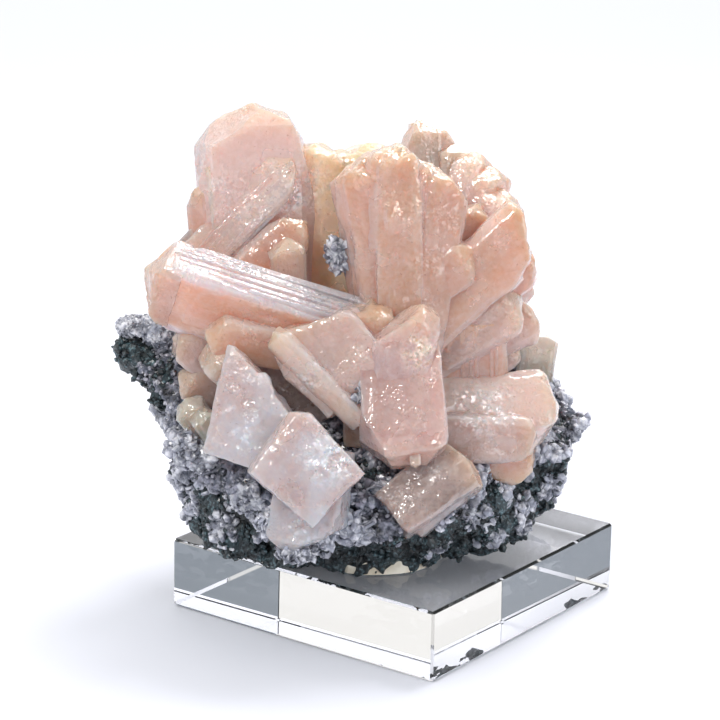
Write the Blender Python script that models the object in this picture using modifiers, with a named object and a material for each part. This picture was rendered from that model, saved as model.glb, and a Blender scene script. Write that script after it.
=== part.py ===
"""A pink stilbite specimen: bladed crystals on a chalcedony-crusted basalt lump, on a clear acrylic block.

Lengths below are in millimetres and are turned to metres by MM.
The specimen is described as it is seen from its front: X to the right, Y away, Z up from the table.
An empty turns it on the block, whose sides lie along the world's X and Y.
"""

import math
import random
from collections import namedtuple

import bmesh
import bpy
from mathutils import Matrix, Vector, noise

MM = 0.001

# The acrylic block, a common size of mineral base.
BLOCK_SIDE = 57.15
BLOCK_HEIGHT = 12.7
BLOCK_BEVEL = 0.4
# The front of the specimen looks out over a corner of the block.
SPECIMEN_TURN = 36.1

# Pieces that touch stand this far apart.
GAP = 0.3

# The putty is a pressed pad with a wavy outline. Its top is cut by the rock.
PUTTY_CENTRE = (-2.5, -9.0)
PUTTY_SIZE = (25.0, 28.0)
PUTTY_TOP = 19.0
PUTTY_TAPER = 0.92
PUTTY_WAVES = ((3, 0.09, 0.6), (5, 0.05, 0.0))
PUTTY_SIDES = 28

# The rock is a lump around this point, and its surface passes near the points below.
ROCK_CENTRE = Vector((-8.0, 0.0, 28.0))
ROCK_BLUR = 0.19
ROCK_TRIANGLES = 1900
# Under the crystals its top is nearly flat: the height in the middle, and the slope to the right and back.
ROCK_TOP = 36.0
ROCK_TOP_SLOPE = (-0.12, 0.35)
ROCK_TOP_FLATNESS = 0.9
# Its bumps: height, grain size and seed of the noise.
ROCK_BUMPS = ((1.9, 6.5, 3.0), (1.3, 2.8, 8.0))
# A knob stands out at the left.
KNOB_CENTRE = Vector((-47.0, 4.0, 47.5))
KNOB_REACH = 12.0
KNOB_SPREAD = 0.15
ROCK_POINTS = (
    # underside
    (-4, -22, 13.2), (-14, -20, 14.2), (-25, -18, 14.8), (8, -17, 15.0), (19, -9, 15.2),
    (2, -6, 15.4), (0, 16, 16), (-16, 14, 16), (12, 10, 16.5), (-24, 2, 16.5),
    # left side
    (-33, -15, 17), (-37, -13, 22), (-38, -9, 29), (-39, -4, 35), (-38, 6, 30), (-40, 6, 38),
    # right side
    (26, -2, 17), (29, 4, 23), (31, 8, 29), (29.5, 12, 37), (24, 8, 38),
    # front, which leans back above its bulge
    (-8, -27, 22), (-20, -25, 25), (7, -24, 21), (20, -15, 20), (-29, -19, 28), (-5, -22, 30), (14, -15, 28),
    (-24, -18, 35), (-34, -10, 36),
    # back
    (-10, 29, 24), (-28, 21, 28), (12, 24, 23), (-10, 29, 37), (-34, 15, 38), (22, 17, 29), (0, 25, 17),
    (-22, 23, 42), (8, 23, 40),
)
# The part of the top that the crystals hide is smooth: its middle and its half sizes.
HIDDEN_CENTRE = (-7.0, 3.0)
HIDDEN_SIZE = (29.0, 18.0)

# The crust covers the rock above this height: it hangs lowest at the front and is highest at the sides.
CRUST_EDGE_FRONT = 20.0
CRUST_EDGE_SIDE = 30.0
CRUST_EDGE_BACK = 26.0
# On the knob the edge lies higher again.
CRUST_EDGE_KNOB = 19.0
CRUST_KNOB_WIDTH = 11.0
# The edge wanders, and the crust thins out towards it over this height.
CRUST_WANDER = (5.0, 9.0, 21.0)
CRUST_FADE = 3.0
CRUST_THICKNESS = 2.4
CRUST_LUMPS = (1.2, 4.2, 33.0)
CRUST_BURIED = -2.0

# The shape shared by all the crystals: how far the sides draw in to the root, the chisel edge at the tip, and
# the directions of the planes that cut the shoulder and the long edges.
NARROWING = 0.84
CHISEL_DEPTH = 0.25
CHISEL_SLOPE = (0.7, 0.4)
SHOULDER_PLANE = (0.89, 0.45)
FRONT_EDGE_PLANE = (0.55, -0.835)
BACK_EDGE_PLANE = (0.6, 0.8)
BACK_BEVEL = 0.6

# A blade grows from root to tip. face is where its broad side looks. left and right are how far its
# shoulders lie below the tip, apex is how far the tip lies to the right of the middle, bevel is the width
# cut off its long front edges, leaves is the number of thinner plates grown on each side, and corner is the
# width of a steep facet at the right shoulder.
Blade = namedtuple("Blade", "root tip width thick face left right apex bevel leaves corner")


def blade(root, tip, width, thick, face, left, right, apex=0.0, bevel=1.2, leaves=0, corner=0.0):
    points = Vector(root), Vector(tip), width, thick, Vector(face)
    return Blade(*points, left, right, apex, bevel, leaves, corner)


CLUSTER = (
    # the big six-sided tablet at the top left, and the narrow blade along its left side
    blade((-25.0, 3, 48), (-26.7, 5, 90.4), 21.4, 9, (0.12, -1, 0.1), 7.0, 4.8, -0.9, 3.0, 1, 4.4),
    blade((-33, 2, 54), (-35.6, 3.5, 77), 5, 6.5, (-0.4, -1, 0.1), 5, 1.5, 1),
    # the striated rods that lie across it
    blade((-38, -5.5, 61), (-19.0, -3.5, 81.5), 7.5, 7, (-0.3, -0.9, 0.35), 3, 3, 0, 1.6, 1),
    blade((-32, -6, 58), (-18.4, -4.5, 75), 6.5, 6, (-0.2, -1, 0.2), 3, 4),
    # the long blade that points left, with its striated edge turned up
    blade((-4, -12.5, 50.5), (-44.8, -10.5, 62.5), 14, 8.5, (-0.08, -0.9, -0.42), 5.5, 4, 0.5, 1.6, 1),
    blade((-5, -14, 48.5), (-34, -14.5, 54.5), 8, 6, (0, -1, -0.25), 3, 3),
    # behind, between the tablet and the middle
    blade((-12, 6, 50), (-14.6, 9, 82.4), 10, 8, (0.1, -1, 0.1), 1.5, 4, -1),
    blade((-8, 8, 50), (-9.8, 11, 81), 7, 7, (0.3, -1, 0), 1, 3, -1),
    blade((-19, -1, 52), (-20.6, -4, 68), 6.6, 4.5, (0.15, -1, 0.3), 2.2, 1.4, 0.4, 0.6),
    # the thick blades in the middle
    blade((0.5, -11, 48), (-2.6, -5, 86), 17.0, 12, (0.05, -1, 0.22), 5.0, 8.5, -1.4, 3.2, 2),
    blade((6, -9, 50), (6.4, -3, 81), 7.5, 10, (0.35, -1, 0.2), 2.5, 4, -0.5, 1.8),
    blade((-6.5, -6, 50), (-8.0, -2, 83.6), 5, 8, (-0.4, -1, 0.1), 4, 2, 0.5, 1.2),
    blade((0, -9, 58), (13.0, -8, 68), 9, 8, (0.1, -1, 0.1), 3, 3.5, 0, 1.4),
    # the pale crystals at the back of the top
    blade((5, 6, 54), (4.6, 13, 85.6), 10.5, 6, (0.15, -1, 0.05), 3.0, 3.2, -2.2, 1.0, 0, 2.0),
    blade((9, 5, 54), (9.4, 11, 82.4), 6, 6.5, (0.2, -1, 0), 2, 3, -0.5, 1.0),
    # plates that stand side by side and step down to the right
    blade((6, 3, 55), (13.0, 9, 81.2), 9, 5, (0.85, -0.45, -0.1), 3, 2, 0, 1.0),
    blade((8, 2, 54), (16.6, 8, 78.8), 9.5, 5, (0.85, -0.45, -0.2), 3, 2, 0, 1.0),
    blade((8, 1, 52), (19.2, 5.5, 75.6), 10, 5.5, (0.8, -0.5, -0.3), 3, 3, 0, 1.2),
    blade((6, -3, 52), (13.5, 0, 74), 8, 7, (0.2, -1, 0.2), 2.5, 3.5, 0, 1.4),
    # the blades that point up to the right
    blade((1, -9, 51), (23.0, -4.5, 72), 12, 9, (-0.1, -1, 0.15), 0.8, 6.5, -3.5, 2.0, 1),
    blade((6, -4, 51), (23.6, -0.5, 66), 9, 6, (0, -1, 0.1), 2, 3.5, -1.0),
    blade((3, -8, 47), (21.4, -6, 58.5), 9.5, 8, (0, -1, 0.1), 2.5, 3.5, 0, 1.4),
    blade((9, -3, 47), (24.6, 1, 54.0), 9, 6, (0.1, -1, 0.1), 3, 2.5),
    # upright crystals below the middle, one with its lower end in view
    blade((-1, -19, 37), (0.9, -20.5, 61), 11.8, 8, (0.05, -1, 0.05), 5.0, 1.6, 2.2, 1.6, 1),
    blade((-0.4, -17, 53), (1.2, -28, 33.0), 15.8, 8, (0, -0.9, 0.45), 6.0, 8.0, -0.6, 1.0),
    blade((13, -5, 34), (12, -7.5, 57), 12, 8, (0.15, -1, 0), 2, 2, 0, 1.2, 1),
    blade((-5.5, -13, 34), (-6, -15.5, 60), 9, 8, (-0.1, -1, 0), 2, 1.2),
    # the tablet left of the middle and the sparkling bar along its lower edge
    blade((-6.5, -20, 46), (-19.2, -16.5, 56.8), 15.5, 7, (-0.12, -1, 0.22), 2.0, 1.6, 0, 1.4),
    blade((-6.5, -24, 40), (-22.2, -20.5, 55), 4.5, 4.5, (-0.3, -0.9, -0.1), 1.4, 1.2, 0, 0.8),
    # the brown tablet behind, seen between its neighbours
    blade((-12, -8, 38), (-27, -12.5, 55), 12, 7, (-0.1, -1, 0.1), 3, 3),
    # the blades that point right
    blade((4, -11, 38.4), (28.6, -6.5, 38.2), 14.5, 10, (0.05, -0.8, 0.55), 4.0, 5.0, 0.8, 2.4, 1),
    blade((3, -16, 37), (24.5, -12.5, 34.8), 9, 8, (0.05, -1, 0.1), 2.5, 4, 0, 1.4),
    blade((6, -13, 34), (24.4, -11, 30.6), 9, 7, (0.1, -1, -0.1), 2, 2.5, 0, 1.0),
    # the brownish crystal at the foot
    blade((-1.0, -26.5, 24.6), (12.4, -21.5, 34.4), 11, 9, (-0.1, -0.88, 0.46), 2.0, 2.0, 0.5, 1.0, 1),
    # small blocky crystals at the left, below the long blade
    blade((-26, -6, 41), (-39.6, -8.5, 52.5), 8, 8, (-0.2, -1, 0.2), 2.5, 2),
    blade((-24, -9, 42), (-32.5, -15.0, 51.5), 9, 7, (-0.2, -1, 0.3), 2, 2.5),
    blade((-24, -6, 38), (-38.6, -9, 44.5), 7.5, 6, (-0.2, -1, 0.1), 2, 3),
    # the back, where blades fan out from the same middle
    blade((-14, 3, 46), (-30, 21, 76), 14, 8, (-0.3, 1, -0.3), 4, 5, 1, 1.6, 1),
    blade((-6, 5, 46), (-7, 25, 79), 16, 9, (0.1, 1, -0.4), 5, 5, -1, 2.0, 1),
    blade((3, 5, 46), (14, 22, 72), 13, 8, (0.4, 1, -0.3), 4, 5, 0.5, 1.6, 1),
    blade((6, 3, 45), (22.0, 19, 59), 11, 8, (0.7, 0.8, -0.2), 4, 3),
    blade((-16, 4, 44), (-36, 17, 60), 12, 8, (-0.6, 0.9, -0.2), 3, 4, 0, 1.6, 1),
    blade((-8, 8, 42), (-14, 30, 59), 14, 9, (-0.1, 0.8, -0.7), 4, 4, 0.5, 1.8, 1),
    blade((2, 8, 40), (10, 29, 53), 12, 8, (0.3, 0.8, -0.6), 4, 3, 0, 1.4),
    blade((-18, 3, 48), (-37, 6, 69), 9, 7, (-0.6, 0.5, 0.3), 3, 3),
    blade((8, 3, 40), (21.5, 10, 46), 8, 7, (0.4, -0.9, 0.3), 3, 3),
    blade((-2, 2, 60), (-6, 10, 83), 12, 8, (0, 1, 0.1), 4, 4, 0, 1.6),
)

# Each of these stands on the crust by itself, clear of the main group.
FRONT_PAIR = (
    blade((-27.0, -26, 34), (-21.6, -21.5, 52.6), 15.5, 6, (-0.12, -0.93, 0.36), 0.6, 8.5, -6.4, 1.0),
    blade((-10.2, -33.0, 30.0), (-22.8, -29.5, 41.4), 15.0, 9, (-0.16, -0.86, 0.5), 2.6, 4.0, 3.8, 0.9),
)
SIDE_CRYSTAL = (blade((24.4, 13.5, 35), (25.4, 15.5, 47.2), 7.6, 6, (0.1, -1, 0.1), 1.6, 2.6, -0.8, 0.8),)
LEFT_CRYSTAL = (
    blade((-33, -13, 34.5), (-37.4, -15.0, 41.4), 5.4, 4.0, (-0.3, -1, 0.3), 1.4, 1.8, 0, 0.5),
    blade((-32, -14.6, 34), (-34.9, -16.8, 40.3), 4.6, 4.0, (0.15, -1, 0.35), 1.2, 1.4, 0.3, 0.5),
)

# The leaves: their share of the blade's width and length, their thickness and edges as a share of the
# blade's, and how far they stand out from its face.
LEAF_SEED = 11
LEAF_WIDTH = (0.42, 0.62)
LEAF_LENGTH = (0.78, 0.9)
LEAF_THICK = 0.5
LEAF_POINT = 0.5
LEAF_BEVEL = 0.4
LEAF_STEP = (0.5, 1.0)


def clear_scene():
    for old in list(bpy.data.objects):
        bpy.data.objects.remove(old, do_unlink=True)


def new_collection(name):
    made = bpy.data.collections.new(name)
    bpy.context.scene.collection.children.link(made)
    return made


def new_material(name, colour, roughness, transmission=0.0, ior=1.5):
    made = bpy.data.materials.new(name)
    made.use_nodes = True
    shader = made.node_tree.nodes["Principled BSDF"]
    shader.inputs["Base Color"].default_value = (*colour, 1.0)
    shader.inputs["Roughness"].default_value = roughness
    shader.inputs["Metallic"].default_value = 0.0
    shader.inputs["Transmission Weight"].default_value = transmission
    shader.inputs["IOR"].default_value = ior
    return made


def object_from(name, bm, collection, parent=None, helper=False):
    """The bmesh, in millimetres, as an object in metres."""
    bmesh.ops.scale(bm, vec=(MM, MM, MM), verts=bm.verts)
    mesh = bpy.data.meshes.new(name)
    bm.to_mesh(mesh)
    bm.free()
    made = bpy.data.objects.new(name, mesh)
    collection.objects.link(made)
    made.parent = parent
    if helper:
        made.hide_render = True
        made.display_type = "WIRE"
    return made


def slice_off(bm, point, normal):
    """Cuts away what lies beyond the plane and closes the cut."""
    everything = bm.verts[:] + bm.edges[:] + bm.faces[:]
    cut = bmesh.ops.bisect_plane(bm, geom=everything, plane_co=point, plane_no=normal, clear_outer=True)
    rim = [part for part in cut["geom_cut"] if isinstance(part, bmesh.types.BMEdge)]
    if rim:
        bmesh.ops.holes_fill(bm, edges=rim)


def crystal(width, thick, length, left, right, apex, bevel, corner=0.0):
    """One tabular crystal on its own axes: +Z to the tip, +X to its right, and its front looks along -Y."""
    bm = bmesh.new()
    bmesh.ops.create_cube(bm, size=1.0)
    bmesh.ops.scale(bm, vec=(width, thick, length), verts=bm.verts)
    bmesh.ops.translate(bm, vec=(0, 0, length / 2), verts=bm.verts)
    half, deep = width / 2, thick / 2
    tip = Vector((apex, 0, length))
    # the point, two faces that fall to the shoulders
    slice_off(bm, tip, (-left, 0, half + apex))
    slice_off(bm, tip, (right, 0, half - apex))
    if corner:
        fall = right * (half - corner - apex) / (half - apex)
        slice_off(bm, (half - corner, 0, length - fall), (SHOULDER_PLANE[0], 0, SHOULDER_PLANE[1]))
    # the chisel edge, front and back
    slope = min(left, right) * CHISEL_SLOPE[0] + CHISEL_SLOPE[1]
    for side in (-1, 1):
        slice_off(bm, (0, side * deep * CHISEL_DEPTH, length), (0, side * slope, deep * (1 - CHISEL_DEPTH)))
    # the sides draw in to the root
    lean = half * (1 - NARROWING) / length
    slice_off(bm, (-half, 0, length), (-1, 0, -lean))
    slice_off(bm, (half, 0, length), (1, 0, -lean))
    # the long edges, cut wider at the front than at the back
    for side in (-1, 1):
        front = (side * FRONT_EDGE_PLANE[0], FRONT_EDGE_PLANE[1], 0)
        slice_off(bm, (side * (half - bevel), -deep, 0), front)
        back = (side * BACK_EDGE_PLANE[0], BACK_EDGE_PLANE[1], 0)
        slice_off(bm, (side * (half - bevel * BACK_BEVEL), deep, 0), back)
    return bm


def placing(one):
    """The matrix from a crystal's own axes to its blade."""
    along = (one.tip - one.root).normalized()
    away = -(one.face - one.face.dot(along) * along).normalized()
    across = away.cross(along)
    turn = Matrix((across, away, along)).transposed().to_4x4()
    return Matrix.Translation(one.root) @ turn


def grow(one, name, collection, parent, dice):
    """The helper solids of one blade: the crystal and the leaves on its faces."""
    length = (one.tip - one.root).length
    place = placing(one)
    body = crystal(one.width, one.thick, length, one.left, one.right, one.apex, one.bevel, one.corner)
    bmesh.ops.transform(body, matrix=place, verts=body.verts)
    solids = [object_from(name, body, collection, parent, helper=True)]
    for leaf in range(one.leaves * 2):
        side = -1 if leaf % 2 == 0 else 1
        width = one.width * dice.uniform(*LEAF_WIDTH)
        tall = length * dice.uniform(*LEAF_LENGTH)
        left, right = one.left * LEAF_POINT, one.right * LEAF_POINT
        plate = crystal(width, one.thick * LEAF_THICK, tall, left, right, 0.0, one.bevel * LEAF_BEVEL)
        across = dice.uniform(-0.5, 0.5) * (one.width - width)
        out = side * (one.thick * (1 - LEAF_THICK) / 2 + dice.uniform(*LEAF_STEP))
        bmesh.ops.transform(plate, matrix=place @ Matrix.Translation((across, out, 0)), verts=plate.verts)
        solids.append(object_from(f"{name}_leaf_{leaf}", plate, collection, parent, helper=True))
    return solids


def boolean(target, operation, other, solver="EXACT"):
    cut = target.modifiers.new(operation.title(), "BOOLEAN")
    cut.operation = operation
    cut.solver = solver
    if isinstance(other, bpy.types.Collection):
        cut.operand_type = "COLLECTION"
        cut.collection = other
    else:
        cut.object = other
    return cut


def largest_body(bm):
    """Keeps the largest of the mesh's bodies, without crumbs left by a cut."""
    bm.faces.ensure_lookup_table()
    seen = set()
    bodies = []
    for start in bm.faces:
        if start in seen:
            continue
        body = []
        front = [start]
        seen.add(start)
        while front:
            face = front.pop()
            body.append(face)
            for edge in face.edges:
                for near in edge.link_faces:
                    if near not in seen:
                        seen.add(near)
                        front.append(near)
        bodies.append(body)
    bodies.sort(key=lambda body: sum(face.calc_area() for face in body))
    crumbs = [face for body in bodies[:-1] for face in body]
    bmesh.ops.delete(bm, geom=crumbs, context="FACES")


def finished(target, triangles=True):
    """Applies the object's modifiers and keeps its one largest body."""
    bpy.context.view_layer.update()
    graph = bpy.context.evaluated_depsgraph_get()
    mesh = bpy.data.meshes.new_from_object(target.evaluated_get(graph))
    target.modifiers.clear()
    target.data = mesh
    mesh.materials.clear()
    bm = bmesh.new()
    bm.from_mesh(mesh)
    for face in bm.faces:
        face.material_index = 0
    largest_body(bm)
    if triangles:
        bmesh.ops.triangulate(bm, faces=bm.faces)
    bm.to_mesh(mesh)
    bm.free()
    return target


def rock_reach(way):
    """How far the surface lies from the rock's centre, looking this way: a lump with a flat top and a knob."""
    total = weight = 0.0
    for point in ROCK_POINTS:
        arm = Vector(point) - ROCK_CENTRE
        share = math.exp((way.dot(arm.normalized()) - 1) / (ROCK_BLUR * ROCK_BLUR))
        total += share * arm.length
        weight += share
    reach = total / weight
    slope = Vector((*ROCK_TOP_SLOPE, 0))
    climb = way.z - way.dot(slope)
    under_top = ROCK_TOP - ROCK_CENTRE.z + ROCK_CENTRE.dot(slope)
    if climb * reach > under_top:
        reach += (under_top / climb - reach) * ROCK_TOP_FLATNESS
    knob = (KNOB_CENTRE - ROCK_CENTRE).normalized()
    off = (1 - way.dot(knob)) / (KNOB_SPREAD * KNOB_SPREAD)
    return reach + KNOB_REACH * math.exp(-off * off)


def rough(point, height, size, seed):
    """Noise of this height and grain size."""
    return height * noise.noise(point / size + Vector((seed, seed * 1.7, -seed)))


def in_view(place):
    """1 where the rock's surface can be seen, falling to 0 under the middle of the crystals."""
    across = (place.x - HIDDEN_CENTRE[0]) / HIDDEN_SIZE[0]
    deep = (place.y - HIDDEN_CENTRE[1]) / HIDDEN_SIZE[1]
    off = math.hypot(across, deep)
    return 1.0 if place.z < ROCK_CENTRE.z else max(0.0, min(1.0, (off - 0.8) / 0.25))


def rock_ball():
    """The lump of basalt, as points around the origin."""
    bm = bmesh.new()
    bmesh.ops.create_icosphere(bm, subdivisions=5, radius=1.0)
    for vert in bm.verts:
        way = vert.co.normalized()
        place = way * rock_reach(way)
        bump = sum(rough(place, *grain) for grain in ROCK_BUMPS)
        vert.co = place + way * bump * in_view(place + ROCK_CENTRE)
        vert.co.z = max(vert.co.z, BLOCK_HEIGHT + GAP - ROCK_CENTRE.z)
    return bm


def simpler(bm, triangles, collection):
    """The same shape with fewer triangles."""
    ball = object_from("rock_ball", bm, collection, helper=True)
    decimate = ball.modifiers.new("Decimate", "DECIMATE")
    decimate.ratio = triangles / len(ball.data.polygons)
    finished(ball)
    made = bmesh.new()
    made.from_mesh(ball.data)
    bmesh.ops.scale(made, vec=(1 / MM,) * 3, verts=made.verts)
    bpy.data.objects.remove(ball, do_unlink=True)
    return made


def crust_cover(place):
    """How thick the crust is over this point of the rock, negative where it has none."""
    flat = Vector((place.x - ROCK_CENTRE.x, place.y, 0)).normalized()
    middle = CRUST_EDGE_FRONT if flat.y < 0 else CRUST_EDGE_BACK
    edge = CRUST_EDGE_SIDE + (middle - CRUST_EDGE_SIDE) * flat.y**2 + rough(place, *CRUST_WANDER)
    edge += CRUST_EDGE_KNOB * math.exp(-(((place - KNOB_CENTRE).length / CRUST_KNOB_WIDTH) ** 2))
    cover = (place.z - edge) / CRUST_FADE
    lumps = rough(place, *CRUST_LUMPS) * in_view(place)
    return max(CRUST_BURIED, min(1.0, cover)) * CRUST_THICKNESS + lumps


def lump(name, ball, collection, parent, added, helper=False):
    """A copy of the ball whose every point is moved out by added(point)."""
    bm = ball.copy()
    for vert in bm.verts:
        way = vert.co.normalized()
        place = ROCK_CENTRE + vert.co
        vert.co = place + way * added(place)
    return object_from(name, bm, collection, parent, helper)


def envelope(place):
    """The rock and its crust together, with the gap that the crystals keep from them."""
    return max(GAP, 2 * GAP + crust_cover(place)) + GAP


def make_block(collection, material):
    bpy.ops.mesh.primitive_cube_add(size=1.0, location=(0, 0, BLOCK_HEIGHT * MM / 2))
    block = bpy.context.object
    block.name = "acrylic_block"
    block.scale = (BLOCK_SIDE * MM, BLOCK_SIDE * MM, BLOCK_HEIGHT * MM)
    bpy.ops.object.transform_apply(location=False, rotation=False, scale=True)
    for holder in list(block.users_collection):
        holder.objects.unlink(block)
    collection.objects.link(block)
    polish = block.modifiers.new("Polished edges", "BEVEL")
    polish.width = BLOCK_BEVEL * MM
    polish.segments = 1
    block.data.materials.append(material)
    return block


def make_putty(collection, parent, material, rock):
    """A pressed pad of putty that fills the space between the rock's underside and the block."""
    bm = bmesh.new()
    low = BLOCK_HEIGHT + GAP
    bmesh.ops.create_cone(
        bm, segments=PUTTY_SIDES, radius1=0.5, radius2=0.5 * PUTTY_TAPER, depth=PUTTY_TOP - low, cap_ends=True
    )
    for vert in bm.verts:
        around = math.atan2(vert.co.y, vert.co.x)
        swell = 1 + sum(size * math.sin(count * around + shift) for count, size, shift in PUTTY_WAVES)
        vert.co.x = vert.co.x * PUTTY_SIZE[0] * swell + PUTTY_CENTRE[0]
        vert.co.y = vert.co.y * PUTTY_SIZE[1] * swell + PUTTY_CENTRE[1]
        vert.co.z += (PUTTY_TOP + low) / 2
    putty = object_from("mounting_putty", bm, collection, parent)
    boolean(putty, "DIFFERENCE", rock)
    finished(putty)
    putty.data.materials.append(material)
    return putty


def make_crystals(name, blades, collection, helpers, parent, material, shell):
    """The blades joined in one solid that stops short of the crust.

    Dozens of blades meet at shallow angles, where the exact solver leaves open edges.
    The manifold one joins them.
    """
    dice = random.Random(LEAF_SEED)
    group = bpy.data.collections.new(name + "_blades")
    helpers.children.link(group)
    solids = []
    for index, one in enumerate(blades):
        solids += grow(one, f"{name}_blade_{index}", group, parent, dice)
    first = solids[0]
    joined = first.copy()
    joined.data = first.data.copy()
    joined.name = name
    joined.hide_render = False
    joined.display_type = "TEXTURED"
    collection.objects.link(joined)
    bpy.data.objects.remove(first, do_unlink=True)
    if len(solids) > 1:
        boolean(joined, "UNION", group, "MANIFOLD")
        finished(joined, triangles=False)
    boolean(joined, "DIFFERENCE", shell, "MANIFOLD")
    finished(joined)
    joined.data.materials.append(material)
    return joined


def main():
    clear_scene()
    parts = new_collection("stilbite_specimen")
    helpers = new_collection("cutters")

    acrylic = new_material("cast acrylic", (0.93, 0.95, 0.96), 0.03, transmission=1.0, ior=1.49)
    putty_clay = new_material("cream putty", (0.86, 0.80, 0.68), 0.7)
    basalt = new_material("dark basalt", (0.022, 0.045, 0.048), 0.85)
    chalcedony = new_material("chalcedony crust", (0.50, 0.48, 0.56), 0.45)
    stilbite = new_material("peach stilbite", (0.72, 0.43, 0.33), 0.3)
    pale_stilbite = new_material("pale stilbite", (0.72, 0.66, 0.58), 0.3)
    frosted_stilbite = new_material("frosted stilbite", (0.66, 0.50, 0.48), 0.4)

    specimen = bpy.data.objects.new("specimen_turn", None)
    specimen.rotation_euler.z = math.radians(SPECIMEN_TURN)
    parts.objects.link(specimen)

    make_block(parts, acrylic)
    ball = simpler(rock_ball(), ROCK_TRIANGLES, helpers)
    rock = lump("basalt_matrix", ball, parts, specimen, lambda place: 0.0)
    rock.data.materials.append(basalt)
    raised_rock = lump("raised_rock", ball, helpers, specimen, lambda place: GAP, helper=True)
    shell = lump("raised_crust", ball, helpers, specimen, envelope, helper=True)
    crust = lump("chalcedony_crust", ball, parts, specimen, lambda place: GAP + crust_cover(place))
    boolean(crust, "DIFFERENCE", raised_rock)
    finished(crust)
    crust.data.materials.append(chalcedony)
    ball.free()

    make_putty(parts, specimen, putty_clay, raised_rock)
    groups = (
        ("stilbite_cluster", CLUSTER, stilbite),
        ("stilbite_front_pair", FRONT_PAIR, frosted_stilbite),
        ("stilbite_side_crystal", SIDE_CRYSTAL, pale_stilbite),
        ("stilbite_left_crystals", LEFT_CRYSTAL, pale_stilbite),
    )
    for name, blades, material in groups:
        make_crystals(name, blades, parts, helpers, specimen, material, shell)


main()
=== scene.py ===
import math
import random
from collections import namedtuple

import bpy
import numpy as np
from mathutils import Matrix, Vector, noise


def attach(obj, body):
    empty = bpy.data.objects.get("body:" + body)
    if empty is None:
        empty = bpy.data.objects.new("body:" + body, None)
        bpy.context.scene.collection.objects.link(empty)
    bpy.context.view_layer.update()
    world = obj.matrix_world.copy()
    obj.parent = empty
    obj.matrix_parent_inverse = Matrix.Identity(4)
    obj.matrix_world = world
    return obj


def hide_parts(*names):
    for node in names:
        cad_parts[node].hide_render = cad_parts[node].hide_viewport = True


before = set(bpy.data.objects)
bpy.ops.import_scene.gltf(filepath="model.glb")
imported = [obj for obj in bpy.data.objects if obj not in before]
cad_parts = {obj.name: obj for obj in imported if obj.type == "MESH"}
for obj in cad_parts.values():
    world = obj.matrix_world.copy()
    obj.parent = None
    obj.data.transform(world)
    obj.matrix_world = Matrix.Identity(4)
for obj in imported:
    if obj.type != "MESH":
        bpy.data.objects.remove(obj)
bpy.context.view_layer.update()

# Lengths are in millimetres. The specimen is described as it is seen from its front, X to the right, Y away
# and Z up from the table, and DISPLAY turns it on the block and makes the millimetres metres.
MM = 0.001
SPECIMEN_TURN = math.radians(36.1)
TURN = Matrix.Rotation(SPECIMEN_TURN, 4, "Z")
AXES = np.array(TURN.to_3x3())
DISPLAY = TURN @ Matrix.Scale(MM, 4)

BLOCK_TOP = 12.7
ROCK_CENTRE = Vector((-8.0, 0.0, 28.0))

# The camera looks at this height over the block's middle, from this far away.
CAMERA_TARGET = Vector((-6.97, 0.0, 44.86))
CAMERA_DISTANCE = 534.2
CAMERA_PITCH = math.radians(16.83)
CAMERA_ROLL = math.radians(1.11)
CAMERA_LENS = 150.0
CAMERA_SENSOR = 36

# Crystals.
#
# A blade grows from root to tip. face is where its broad side looks. left and right are how far its shoulders
# lie below the tip, apex is how far the tip lies to the right of the middle, bevel is the width cut off its
# long front edges, corner is the width of a steep facet at the right shoulder, and blunt is the length broken
# off the tip. kind is its tone and habit.
Blade = namedtuple("Blade", "root tip width thick face left right apex bevel corner blunt tone habit")


def blade(kind, root, tip, width, thick, face, left, right, apex=0.0, bevel=1.2, corner=0.0, blunt=0.0):
    points = Vector(root), Vector(tip), width, thick, Vector(face)
    return Blade(*points, left, right, apex, bevel, corner, blunt, *kind.split())


# How a blade is made up: how many thin plates lie on its faces, their share of its width and how far they
# stand out, how many points stand along its tip, how many ribs run up its sides, their share of its
# thickness, the number of small facets at its tip, the heights of the growth lines and of the swells in its
# faces, and how far the whole crystal wanders from straight.
# Worn crystals have run together in one rounded form, in voxels of this size. Sharp ones have 0.
Habit = namedtuple("Habit", "plates width proud crown ribs rib chips lines swell bent worn")
HABITS = {
    "tablet": Habit(1, (0.5, 0.8), (0.02, 0.12), 1, 0, (0.3, 0.6), 5, 0.1, 0.7, 0.5, 0),
    "frosted": Habit(2, (0.4, 0.7), (0.02, 0.1), 0, 0, (0.3, 0.6), 4, 0.15, 0.7, 0.5, 0.33),
    "blade": Habit(2, (0.3, 0.7), (0.0, 0.25), 1, 1, (0.25, 0.5), 5, 0.2, 1.4, 1.3, 0.5),
    "sheaf": Habit(3, (0.4, 0.7), (0.0, 0.2), 9, 0, (0.3, 0.6), 5, 0.25, 3.6, 1.8, 0.5),
    "rods": Habit(14, (0.04, 0.1), (0.0, 0.12), 5, 8, (0.08, 0.16), 3, 0.3, 0.9, 0.6, 0),
    "striped": Habit(3, (0.2, 0.5), (0.1, 0.25), 3, 34, (0.03, 0.08), 4, 0.25, 0.9, 0.7, 0),
}


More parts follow.
